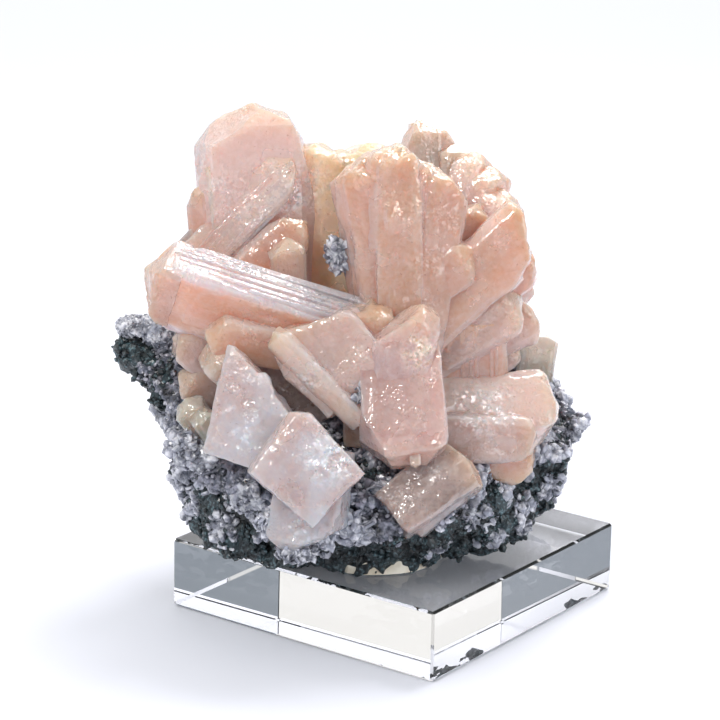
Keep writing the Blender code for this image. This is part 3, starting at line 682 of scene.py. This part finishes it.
# White druse in separate tufts, as place and half sizes: at the foot of the upright crystal, between the long
# blade and the middle, below the pale crystals at the left, and at the lower ends of the frosted crystals.
TUFTS = (
    ((-6.8, -22.5, 44.4), (1.1, 1.0, 3.2)),
    ((-10.6, -6.6, 65.8), (2.3, 1.7, 2.7)),
    ((-36.8, -18.0, 33.4), (1.2, 1.0, 3.0)),
    ((-21.4, -31.4, 25.0), (2.6, 1.1, 1.8)),
    ((-12.4, -31.8, 23.6), (1.6, 1.1, 2.4)),
    ((-17.2, -32.4, 20.4), (3.0, 1.2, 1.2)),
)
# The druse on the rock's knob has finer grains.
KNOB_LUMPS = (
    ((-42.6, 1.6, 49.2), (3.6, 3.0, 3.2)),
    ((-47.2, 3.4, 49.4), (3.4, 3.0, 1.9)),
)


def copy_of_node(node_name, name):
    """The node's mesh as a new object, with its loose triangles merged."""
    made = in_scene(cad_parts[node_name].copy(), name)
    made.data = made.data.copy()
    made.parent = None
    for key in list(made.keys()):
        del made[key]
    only(made)
    edit_all()
    bpy.ops.mesh.remove_doubles(threshold=MERGED_UNDER)
    mode("OBJECT")
    return made


def remesh(obj, voxel):
    fine = obj.modifiers.new("Fine mesh", "REMESH")
    fine.mode = "VOXEL"
    fine.voxel_size = voxel
    apply_all(obj)


def note_raised(mesh, heights):
    """Keeps 0 in the hollows and 1 on the tops as an attribute, for colour, so that the hollows are painted
    darker as shade.
    """
    low, high = np.percentile(heights, RAISED_BETWEEN)
    raised = np.clip((heights - low) / (high - low), 0, 1)
    mesh.attributes.new("raised", "FLOAT", "POINT").data.foreach_set("value", raised)


def roughen(obj, layers):
    """Moves the surface in and out by each layer of noise: its kind, grain size, height and middle level."""
    flat = values_of(obj.data.vertices, "co", 3)
    outward = values_of(obj.data.vertex_normals, "vector", 3)
    for kind, size, height, middle in layers:
        texture = bpy.data.textures.new(f"{obj.name} {kind}", kind)
        texture.noise_scale = size * MM
        bumps = obj.modifiers.new(f"{kind} {size}", "DISPLACE")
        bumps.texture = texture
        bumps.texture_coords = "LOCAL"
        bumps.strength = height * MM
        bumps.mid_level = middle
    apply_all(obj)
    moved = values_of(obj.data.vertices, "co", 3) - flat
    note_raised(obj.data, np.einsum("ij,ij->i", moved, outward))


def mesh_arrays(mesh):
    """The triangles' corners, normals and areas, as arrays in metres."""
    mesh.calc_loop_triangles()
    corners = values_of(mesh.loop_triangles, "vertices", 3, int)
    triangles = values_of(mesh.vertices, "co", 3)[corners]
    across = np.cross(triangles[:, 1] - triangles[:, 0], triangles[:, 2] - triangles[:, 0])
    areas = np.linalg.norm(across, axis=1) / 2
    return triangles, across / np.maximum(areas * 2, 1e-12)[:, None], areas


def turned_to(normals, dice):
    """A rotation for each normal that turns +Z to it, with a random turn about it."""
    side = np.cross(normals, dice.normal(size=normals.shape))
    side /= np.linalg.norm(side, axis=1)[:, None]
    return np.stack([side, np.cross(normals, side), normals], axis=2)


def scattered(name, hosts, patterns, count, size, seed, wanted, lean, sink):
    """Small crystals stood on the surfaces where wanted says so, and joined in one mesh."""
    dice = np.random.default_rng(seed)
    parts = [mesh_arrays(host.data) for host in hosts]
    triangles, normals, areas = (np.concatenate([part[i] for part in parts]) for i in range(3))
    picked = dice.choice(len(areas), size=count, p=areas / areas.sum())
    a, b = dice.random((2, count))
    over = a + b > 1
    a[over], b[over] = 1 - a[over], 1 - b[over]
    corner = triangles[picked]
    sides = corner[:, 1:] - corner[:, :1]
    places = corner[:, 0] + a[:, None] * sides[:, 0] + b[:, None] * sides[:, 1]
    ways = normals[picked]
    keep = wanted(places, ways)
    places, ways = places[keep], ways[keep]
    ways = ways + dice.normal(scale=lean, size=ways.shape)
    ways /= np.linalg.norm(ways, axis=1)[:, None]
    sizes = dice.uniform(*size, size=len(places)) * MM
    turns = turned_to(ways, dice)
    kinds = dice.integers(len(patterns), size=len(places))
    all_points, all_faces, heights, start = [], [], [], 0
    for kind, pattern in enumerate(patterns):
        mine = kinds == kind
        base = np.array([vert.co for vert in pattern.data.vertices])
        faces = [tuple(face.vertices) for face in pattern.data.polygons]
        points = np.einsum("nij,kj->nki", turns[mine] * sizes[mine][:, None, None], base)
        points += (places[mine] - ways[mine] * sizes[mine][:, None] * sink)[:, None, :]
        for _ in points:
            all_faces += [tuple(corner + start for corner in face) for face in faces]
            start += len(base)
        all_points.append(points.reshape(-1, 3))
        # each small crystal is painted darker towards its foot, as shade, and lighter or darker at random
        shades = np.repeat(dice.normal(scale=SHADE_SPREAD, size=len(points)), len(base))
        heights.append(np.tile(base[:, 2], len(points)) + shades)
    mesh = bpy.data.meshes.new(name)
    mesh.from_pydata(np.concatenate(all_points).tolist(), [], all_faces)
    note_raised(mesh, np.concatenate(heights))
    return in_scene(bpy.data.objects.new(name, mesh))


def display(places):
    """Points of the world, in metres, as the specimen's own millimetres."""
    return places @ AXES / MM


def quartz_point():
    """A six-sided point on a short stem."""
    nothing_selected()
    bpy.ops.mesh.primitive_cone_add(vertices=6, radius1=0.42, radius2=0, depth=0.55, location=(0, 0, 0.75))
    made = new_piece("quartz_point")
    mode("EDIT")
    bpy.ops.mesh.select_all(action="DESELECT")
    mode("OBJECT")
    for face in made.data.polygons:
        face.select = face.normal.z < -0.9
    mode("EDIT")
    bpy.ops.mesh.select_mode(type="FACE")
    bpy.ops.mesh.extrude_region_move(TRANSFORM_OT_translate={"value": (0, 0, -0.6)})
    bpy.ops.transform.resize(value=(0.8, 0.8, 1), center_override=(0, 0, 0))
    mode("OBJECT")
    return made


def popcorn_grain(stretch):
    """A rounded grain of a few faces, a little lopsided."""
    nothing_selected()
    bpy.ops.mesh.primitive_ico_sphere_add(subdivisions=1, radius=0.5, location=(0, 0, 0.3), scale=stretch)
    return new_piece("popcorn_grain")


def flake(lobes, tilt, thick):
    """A thin scalloped flake on edge, with its foot at the origin."""
    nothing_selected()
    bpy.ops.mesh.primitive_cylinder_add(vertices=FLAKE_SIDES, radius=0.5, depth=thick)
    made = new_piece("flake")
    scallops = (0.15, 2, tilt), (0.14, lobes, 0), (0.08, 9, 0)
    for vert in made.data.vertices:
        around = math.atan2(vert.co.y, vert.co.x)
        reach = sum((high * math.cos(count * around + turn) for high, count, turn in scallops), start=1)
        vert.co.x *= reach
        vert.co.y *= reach * FLAKE_OVAL
        vert.co.z += 0.08 * math.cos(3 * around + lobes) + 0.1 * math.cos(2 * around)
    edit_all()
    bpy.ops.transform.rotate(value=tilt, orient_axis="X", center_override=(0, 0, 0))
    bpy.ops.transform.translate(value=(0, 0, 0.3 * math.sin(tilt)))
    mode("OBJECT")
    return made


# Materials.


def plug(made, inputs):
    """Sets or links a node's inputs. A colour is given without its alpha."""
    for key, value in inputs.items():
        socket = made.inputs[key]
        if isinstance(value, bpy.types.NodeSocket):
            made.id_data.links.new(value, socket)
        else:
            socket.default_value = (*value, 1) if socket.type == "RGBA" else value


def node(tree, kind, inputs=None, out=0, **settings):
    """Adds a shader node with its settings, plugs its inputs, and gives one of its outputs."""
    made = tree.nodes.new("ShaderNode" + kind)
    for key, value in settings.items():
        setattr(made, key, value)
    plug(made, inputs or {})
    return made.outputs[out]


def finish(name):
    """A new material, its node tree and its Principled shader."""
    made = bpy.data.materials.new(name)
    made.use_nodes = True
    return made, made.node_tree, made.node_tree.nodes["Principled BSDF"]


def spots(tree, where, size, low, high, detail=2.0):
    """0 to 1 patches of this size in millimetres, from noise on Object coordinates."""
    pattern = node(tree, "TexNoise", {"Vector": where, "Scale": 1 / (size * MM), "Detail": detail})
    return node(tree, "MapRange", {"Value": pattern, "From Min": low, "From Max": high})


def painted(tree, base, *coats):
    """The base colour under coats of other colours, each with its mask, its most and its colour."""
    for mask, most, colour in coats:
        share = node(tree, "Math", {0: mask, 1: most}, operation="MULTIPLY")
        base = node(tree, "Mix", {0: share, 6: base, 7: colour}, 2, data_type="RGBA")
    return base


def relief(tree, *layers):
    """A normal raised by layers of height, each with its pattern, strength and depth in millimetres."""
    normal = {}
    for height, strength, depth in layers:
        inputs = {"Height": height, "Strength": strength, "Distance": depth * MM, **normal}
        normal = {"Normal": node(tree, "Bump", inputs)}
    return normal["Normal"]


def stilbite_finish(name, haze, haze_colour, rough, glow, coat_rough):
    """Natural stilbite: glassy to pearly blades, milky inside, with growth lines, steps and pits that
    glitter, a painted warm glow near the tips and painted highlights. The attributes that marked gives say
    where.
    """
    made, tree, shader = finish(name)
    where = node(tree, "TexCoord", out="Object")
    tint = node(tree, "Attribute", attribute_name="tint")
    lined = tint.node.outputs["Alpha"]
    grain = node(tree, "UVMap", uv_map="grain")
    clouds = spots(tree, where, 6.0, 0.4, 0.65, 4.0)
    # healed cracks 7 mm apart show as pale veils
    bent = node(tree, "TexNoise", {"Vector": where, "Scale": 1 / (3 * MM)}, "Color")
    twist = node(tree, "VectorMath", {0: bent, "Scale": 2.5 * MM}, operation="SCALE")
    path = node(tree, "VectorMath", {0: where, 1: twist}, operation="ADD")
    cracks = {"Vector": path, "Scale": 1 / (7 * MM)}
    cracks = node(tree, "TexVoronoi", cracks, feature="DISTANCE_TO_EDGE")
    veil = node(tree, "MapRange", {"Value": cracks, "From Min": 0.06, "From Max": 0.0})
    # painted glow: the last 6 mm to the tip are painted warmer, for the light that comes through there
    down = node(tree, "SeparateXYZ", {"Vector": grain}, "Y")
    near_tip = node(tree, "MapRange", {"Value": down, "From Min": 6.0, "From Max": 0.0})
    colour = painted(
        tree,
        tint,
        (clouds, haze, linear(haze_colour)),
        (veil, 0.1, linear("#F3E6E2")),
        (near_tip, glow, linear("#EBC795")),
        # mottling 0.8 mm across, and brown specks half as wide
        (spots(tree, where, 0.8, 0.35, 0.65, 3.0), 0.18, linear("#F4E2DA")),
        (spots(tree, where, 0.5, 0.8, 0.84, 0.0), 0.4, linear("#8E6A58")),
    )
    # growth lines 0.35 mm apart, terraces of 2 by 4.5 mm that rise 0.1 mm in all, pits 0.55 mm across in
    # patches of 4 mm, and lumps 1.1 mm across
    lines = node(tree, "Mapping", {"Vector": grain, "Scale": (2.8, 0.06, 1)})
    ridges = node(tree, "TexNoise", {"Vector": lines, "Scale": 1.0, "Detail": 3.0})
    ridges = node(tree, "Math", {0: ridges, 1: lined}, operation="MULTIPLY")
    slabs = node(tree, "Mapping", {"Vector": grain, "Scale": (0.5, 0.22, 1)})
    swells = node(tree, "TexNoise", {"Vector": slabs, "Scale": 1.0, "Detail": 3.0})
    steps = {"Value": swells, "From Min": 0.25, "From Max": 0.75, "Steps": 7.0}
    terraces = node(tree, "MapRange", steps, interpolation_type="STEPPED")
    pits = node(tree, "TexVoronoi", {"Vector": where, "Scale": 1 / (0.55 * MM)})
    pits = node(tree, "Math", {0: spots(tree, where, 4.0, 0.47, 0.6), 1: pits}, operation="MULTIPLY")
    lumps = node(tree, "TexNoise", {"Vector": where, "Scale": 1 / (1.1 * MM), "Detail": 2.0})
    raised = relief(tree, (ridges, 1.0, 0.05), (terraces, 1.0, 0.1), (pits, 1.0, 0.12), (lumps, 1.0, 0.12))
    # facets 0.5 mm across, which are finer in the stone than the render can show
    painted_highlight = node(tree, "Attribute", attribute_name="painted_highlight")
    highlight_share = node(tree, "SeparateColor", {"Color": painted_highlight}, "Red")
    tilt = highlight_share.node.outputs["Green"]
    facets = node(tree, "TexVoronoi", {"Vector": where, "Scale": 1 / (0.5 * MM)}, "Color")
    lean = node(tree, "VectorMath", {0: facets, 1: (0.5, 0.5, 0.5)}, operation="SUBTRACT")
    lean = node(tree, "VectorMath", {0: lean, "Scale": tilt}, operation="SCALE")
    faceted = node(tree, "VectorMath", {0: raised, 1: lean}, operation="ADD")
    faceted = node(tree, "VectorMath", {0: faceted}, operation="NORMALIZE")
    some = node(tree, "SeparateColor", {"Color": facets}, "Red")
    some = {"Value": some, "From Min": 0.3, "From Max": 0.6, "To Max": 0.85}
    some = node(tree, "MapRange", some)
    # where highlights are painted, the facets are also metallic and mirror the lights
    mirrors = node(tree, "Math", {0: highlight_share, 1: some}, operation="MULTIPLY")
    gloss = node(tree, "MapRange", {"Value": clouds, "To Min": rough - 0.1, "To Max": rough + 0.15})
    plug(shader, {
        "Base Color": colour,
        "Normal": faceted,
        "Coat Normal": faceted,
        "Metallic": mirrors,
        "Roughness": gloss,
        "IOR": 1.5,
        "Subsurface Weight": 1.0,
        "Subsurface Radius": (1.0, 0.7, 0.55),
        "Subsurface Scale": 6 * MM,
        "Transmission Weight": 0.42,
        "Coat Weight": 0.8,
        "Coat Roughness": coat_rough,
    })
    return made


def basalt_finish():
    """Weathered basalt: near-black with a green-blue cast, matt, with fine sparkling grains on its tops, and
    its hollows painted blacker as shade.
    """
    made, tree, shader = finish("weathered basalt")
    where = node(tree, "TexCoord", out="Object")
    raised = node(tree, "Attribute", out="Fac", attribute_name="raised")
    patches = spots(tree, where, 5.0, 0.4, 0.62)
    grains = spots(tree, where, 0.6, 0.52, 0.7)
    dusty = node(tree, "Math", {0: raised, 1: grains}, operation="MULTIPLY")
    # the tops keep the green-blue cast, and the hollows are painted near-black as shade
    tops = painted(tree, linear("#0C1A1F"), (patches, 1.0, linear("#1C3238")))
    pits = node(tree, "TexNoise", {"Vector": where, "Scale": 1 / (0.35 * MM), "Detail": 3.0})
    plug(shader, {
        "Base Color": painted(tree, linear("#030506"), (raised, 1.0, tops), (dusty, 0.6, linear("#7C9CA5"))),
        "Normal": relief(tree, (pits, 0.8, 0.3)),
        "Roughness": node(tree, "MapRange", {"Value": grains, "To Min": 0.6, "To Max": 0.22}),
        "IOR": 1.55,
        "Coat Weight": 0.4,
        "Coat Roughness": 0.2,
    })
    return made


def chalcedony_finish(name, deep, pale, white):
    """Chalcedony and quartz druse: blue-grey and translucent in its hollows, lilac-white on its tops; the
    hollows are painted darker as shade.
    """
    made, tree, shader = finish(name)
    where = node(tree, "TexCoord", out="Object")
    raised = node(tree, "Attribute", out="Fac", attribute_name="raised")
    thick = spots(tree, where, 4.5, 0.4, 0.6, 3.0)
    frost = spots(tree, where, 1.3, 0.45, 0.62)
    # paler where raised and where thicker; the darker hollows are painted shade
    share = node(tree, "Math", {0: raised, 1: thick}, operation="ADD")
    light = node(tree, "MapRange", {"Value": share, "From Min": 0.6, "From Max": 1.5})
    pits = node(tree, "TexNoise", {"Vector": where, "Scale": 1 / (0.4 * MM), "Detail": 2.0})
    plug(shader, {
        "Base Color": painted(tree, linear(deep), (light, 1.0, linear(pale)), (raised, frost, linear(white))),
        "Normal": relief(tree, (pits, 0.6, 0.2)),
        "Roughness": 0.25,
        "IOR": 1.54,
        "Subsurface Weight": 0.5,
        "Subsurface Radius": (1.0, 0.95, 1.0),
        "Subsurface Scale": 1.2 * MM,
        "Coat Weight": 0.3,
        "Coat Roughness": 0.1,
    })
    return made


def acrylic_finish():
    """Cast acrylic, polished: water-clear, so that it only bends what is seen through it."""
    made, tree, shader = finish("cast acrylic")
    plug(shader, {"Base Color": (1, 1, 1), "Roughness": 0.0, "IOR": 1.49, "Transmission Weight": 1.0})
    return made


def putty_finish():
    """Cream mounting putty: matt and slightly greasy, with thumb-soft bumps."""
    made, tree, shader = finish("mounting putty")
    where = node(tree, "TexCoord", out="Object")
    patches = spots(tree, where, 3.0, 0.4, 0.6)
    bumps = node(tree, "TexNoise", {"Vector": where, "Scale": 1 / (2.5 * MM)})
    plug(shader, {
        "Base Color": painted(tree, linear("#D9CDB6"), (patches, 1.0, linear("#EFE8D8"))),
        "Normal": relief(tree, (bumps, 0.3, 0.3)),
        "Roughness": 0.6,
        "IOR": 1.45,
    })
    return made


def paper_finish():
    """The table under the specimen: white card with a breath of blue."""
    made, tree, shader = finish("white card")
    plug(shader, {"Base Color": linear("#DADDE6"), "Roughness": 0.9})
    return made


# Studio.

# The floor lies this far under the block, so that their faces don't coincide. It is 6 m wide.
FLOOR_SIDE = 6
FLOOR_GAP = 0.2
# The light of the surroundings.
ROOM_COLOUR = (0.26, 0.295, 0.34)
PAPER_COLOUR = (1.0, 0.985, 0.96)
ROOM_LIGHT = 0.95
# The lights: their place, what they aim at, their size, power and colour.
LIGHTS = (
    ("key", (-300, -420, 500), (-8, 0, 45), (120, 120), 2.3, (1.0, 0.98, 0.95)),
    ("fill", (420, -420, 260), (-8, 0, 45), (300, 300), 1.1, (0.95, 0.97, 1.0)),
    ("top", (110, 160, 420), (-8, 0, 45), (240, 160), 1.35, (1.0, 0.98, 1.0)),
    ("wash", (-8, 860, 640), (-8, 900, 0), (900, 600), 2.9, (1.0, 1.0, 1.0)),
)


def area_light(name, place, aim, size, power, colour):
    data = bpy.data.lights.new(name, "AREA")
    data.shape = "RECTANGLE"
    data.size, data.size_y = size[0] * MM, size[1] * MM
    data.energy = power
    data.color = colour
    lamp = in_scene(bpy.data.objects.new(name, data))
    away = Vector(place) - Vector(aim)
    spot = Matrix.Translation(Vector(place) * MM) @ away.to_track_quat("Z", "Y").to_matrix().to_4x4()
    lamp.matrix_world = TURN @ spot


def studio():
    nothing_selected()
    bpy.ops.mesh.primitive_plane_add(size=FLOOR_SIDE, location=(0, 0, -FLOOR_GAP * MM))
    floor = bpy.context.object
    floor.name = "floor"
    floor.data.materials.append(paper_finish())
    world = bpy.data.worlds.new("pale studio")
    world.use_nodes = True
    tree = world.node_tree
    way = node(tree, "TexCoord", out="Generated")
    # white paper behind the specimen and a white ceiling, and a grey-blue room to the sides and in front
    ahead = Vector((-math.sin(SPECIMEN_TURN), math.cos(SPECIMEN_TURN), 0.25)).normalized()
    facing = node(tree, "VectorMath", {0: way, 1: ahead}, "Value", operation="DOT_PRODUCT")
    paper = node(tree, "MapRange", {"Value": facing, "From Min": 0.45, "From Max": 0.7})
    height = node(tree, "SeparateXYZ", {"Vector": way}, "Z")
    ceiling = node(tree, "MapRange", {"Value": height, "From Min": 0.35, "From Max": 0.7})
    either = node(tree, "Math", {0: paper, 1: ceiling}, operation="MAXIMUM")
    colour = painted(tree, ROOM_COLOUR, (either, 1.0, PAPER_COLOUR))
    plug(tree.nodes["Background"], {"Color": colour, "Strength": ROOM_LIGHT})
    bpy.context.scene.world = world
    for light in LIGHTS:
        area_light(*light)
    bpy.context.scene.view_settings.view_transform = "Standard"


def camera():
    data = bpy.data.cameras.new("camera")
    data.lens = CAMERA_LENS
    data.sensor_width = CAMERA_SENSOR
    made = in_scene(bpy.data.objects.new("camera", data))
    back = Vector((0, -math.cos(CAMERA_PITCH), math.sin(CAMERA_PITCH)))
    place = (CAMERA_TARGET + back * CAMERA_DISTANCE) * MM
    turn = Matrix.Rotation(math.pi / 2 - CAMERA_PITCH, 4, "X") @ Matrix.Rotation(CAMERA_ROLL, 4, "Z")
    made.matrix_world = TURN @ Matrix.Translation(place) @ turn
    bpy.context.scene.camera = made


def stand(piece, material, slot, *nodes):
    """The piece takes the material, rides on the specimen's one body and replaces these nodes. slot is not
    used.
    """
    piece.data.materials.clear()
    piece.data.materials.append(material)
    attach(piece, "root")
    if nodes:
        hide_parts(*nodes)


def make_rock(grains):
    basalt = basalt_finish()
    rock = copy_of_node("basalt_matrix", "basalt_rock")
    remesh(rock, ROCK_VOXEL)
    roughen(rock, ROCK_ROUGH)
    stand(rock, basalt, "basalt", "basalt_matrix")

    def in_clumps(places, ways):
        mm = display(places)
        return (mm[:, 2] > BLOCK_TOP + 0.8) & (mm[:, 2] < GRANULE_TOP) & (rough_at(mm, 3.0, 4) > -0.1)

    granules = scattered("basalt_granules", [rock], grains, 8000, (0.6, 1.8), 5, in_clumps, 0.6, 0.1)
    stand(granules, basalt, "basalt")
    return rock


def everywhere(places, ways):
    return slice(None)


def druse_lumps(name, lumps, patterns, count, size, seed, lean, sink):
    """Rounded lumps at these places, with these half sizes, covered in small crystals as one piece."""
    hosts = []
    for index, (place, half_sizes) in enumerate(lumps):
        nothing_selected()
        bpy.ops.mesh.primitive_ico_sphere_add(subdivisions=4, radius=1)
        host = new_piece(f"{name}_{index}")
        host.data.transform(DISPLAY @ Matrix.Translation(place) @ Matrix.Diagonal((*half_sizes, 1)))
        roughen(host, LUMP_ROUGH)
        hosts.append(host)
    made = scattered(name, hosts, patterns, count, size, seed, everywhere, lean, sink)
    only(made)
    for host in hosts:
        host.select_set(True)
    bpy.ops.object.join()
    return made


def more(mm):
    """The druse is denser at the specimen's left and right."""
    return 0.3 * (mm[:, 0] > 13) + 0.2 * (mm[:, 0] < -28)


def in_patches(size, seed, level, top=99.0):
    """A test for the crust's outer side, in patches of this size, up to a ragged height."""

    def wanted(places, ways):
        mm = display(places)
        outward = np.einsum("ij,ij->i", mm - np.array(ROCK_CENTRE), ways @ AXES) > 0
        thick = rough_at(mm, size, seed) + more(mm) > level
        return outward & thick & (mm[:, 2] < top + 8 * rough_at(mm, 12, 1))

    return wanted


def in_fringe(places, ways):
    """The druse thins out on the rock, in a ragged band that lies lower at the right."""
    mm = display(places)
    off = np.abs(mm[:, 2] - np.where(mm[:, 0] > 8, 21, 24) - 3 * rough_at(mm, 9, 3))
    return (mm[:, 2] > BLOCK_TOP + 3) & (rough_at(mm, 4.5, 6) + more(mm) > 0.06 + off * 0.06)


def make_crust(rock, points, grains, flakes):
    crust = copy_of_node("chalcedony_crust", "druse_crust")
    remesh(crust, CRUST_VOXEL)
    roughen(crust, CRUST_ROUGH)
    base = chalcedony_finish("chalcedony crust", "#10151B", "#5B606D", "#A3A3B1")
    stand(crust, base, "chalcedony", "chalcedony_crust")
    grey = chalcedony_finish("quartz druse", "#2C323C", "#8D8E99", "#D1D0DB")
    white = chalcedony_finish("white chalcedony flakes", "#666973", "#9DA0AD", "#E2E2EA")
    low = in_patches(5.0, 7, 0.22, 34.0)
    on_crust, on_rock = [crust], [rock]
    layers = (
        (grey, "quartz_points", on_crust, points, 5200, (0.5, 1.2), 9, in_patches(3.2, 2, -0.05), 0.45, 0.2),
        (grey, "druse_grains", on_crust, grains, 5200, (0.5, 1.3), 11, in_patches(2.6, 5, 0.05), 0.4, 0.1),
        (white, "druse_flakes", on_crust, grains * 2 + flakes, 30000, (1.0, 2.8), 13, low, 0.45, 0.1),
        (white, "druse_on_rock", on_rock, grains + flakes, 20000, (0.8, 2.4), 15, in_fringe, 0.4, 0.1),
    )
    for material, *layer in layers:
        stand(scattered(*layer), material, "chalcedony")
    lumps = (
        ("druse_tufts", TUFTS, flakes + points, 900, (0.8, 2.2), 17, 0.5, 0.2),
        ("knob_druse", KNOB_LUMPS, grains, 500, (0.4, 1.0), 21, 0.4, 0.3),
    )
    for lump in lumps:
        stand(druse_lumps(*lump), white, "chalcedony")


def make_stilbite():
    dice = random.Random(GROWTH_SEED)
    patterns = [seedling(f"seedling_{index}", apex, dice) for index, apex in enumerate(POINT_SHIFTS)]
    peach = stilbite_finish("peach stilbite", 0.4, "#E9CFC8", 0.18, 0.4, 0.04)
    # its bluish haze is partly its own and partly a painted reflection of the lights
    frosted = stilbite_finish("frosted stilbite", 0.6, "#DDE2EC", 0.35, 0.1, 0.22)
    pale = stilbite_finish("pale stilbite", 0.4, "#E0DCD6", 0.2, 0.15, 0.05)
    groups = (
        ("stilbite_blades", CLUSTER, peach, "stilbite_peach", "stilbite_cluster"),
        ("stilbite_back_blades", BACK_BLADES, peach, "stilbite_peach", "stilbite_cluster"),
        ("stilbite_frosted_pair", FRONT_PAIR, frosted, "stilbite_frosted", "stilbite_front_pair"),
        ("stilbite_pale_side", SIDE_CRYSTAL, pale, "stilbite_pale", "stilbite_side_crystal"),
        ("stilbite_pale_left", LEFT_CRYSTALS, pale, "stilbite_pale", "stilbite_left_crystals"),
    )
    for name, blades, material, slot, replaced in groups:
        stand(crystals(name, blades, patterns), material, slot, replaced)
    for pattern in patterns:
        bpy.data.objects.remove(pattern, do_unlink=True)


def main():
    nothing_selected()
    camera()
    studio()
    for name, material in (("acrylic_block", acrylic_finish()), ("mounting_putty", putty_finish())):
        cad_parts[name].data.materials.clear()
        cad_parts[name].data.materials.append(material)
    points = [quartz_point()]
    grains = [popcorn_grain(stretch) for stretch in ((1, 0.8, 0.9), (0.7, 1, 1.2), (1.2, 0.7, 0.6))]
    flakes = [flake(5, 1.0, 0.16), flake(7, 0.5, 0.12), flake(4, 1.3, 0.18)]
    rock = make_rock(grains)
    make_crust(rock, points, grains, flakes)
    for pattern in points + grains + flakes:
        bpy.data.objects.remove(pattern, do_unlink=True)
    make_stilbite()


main()
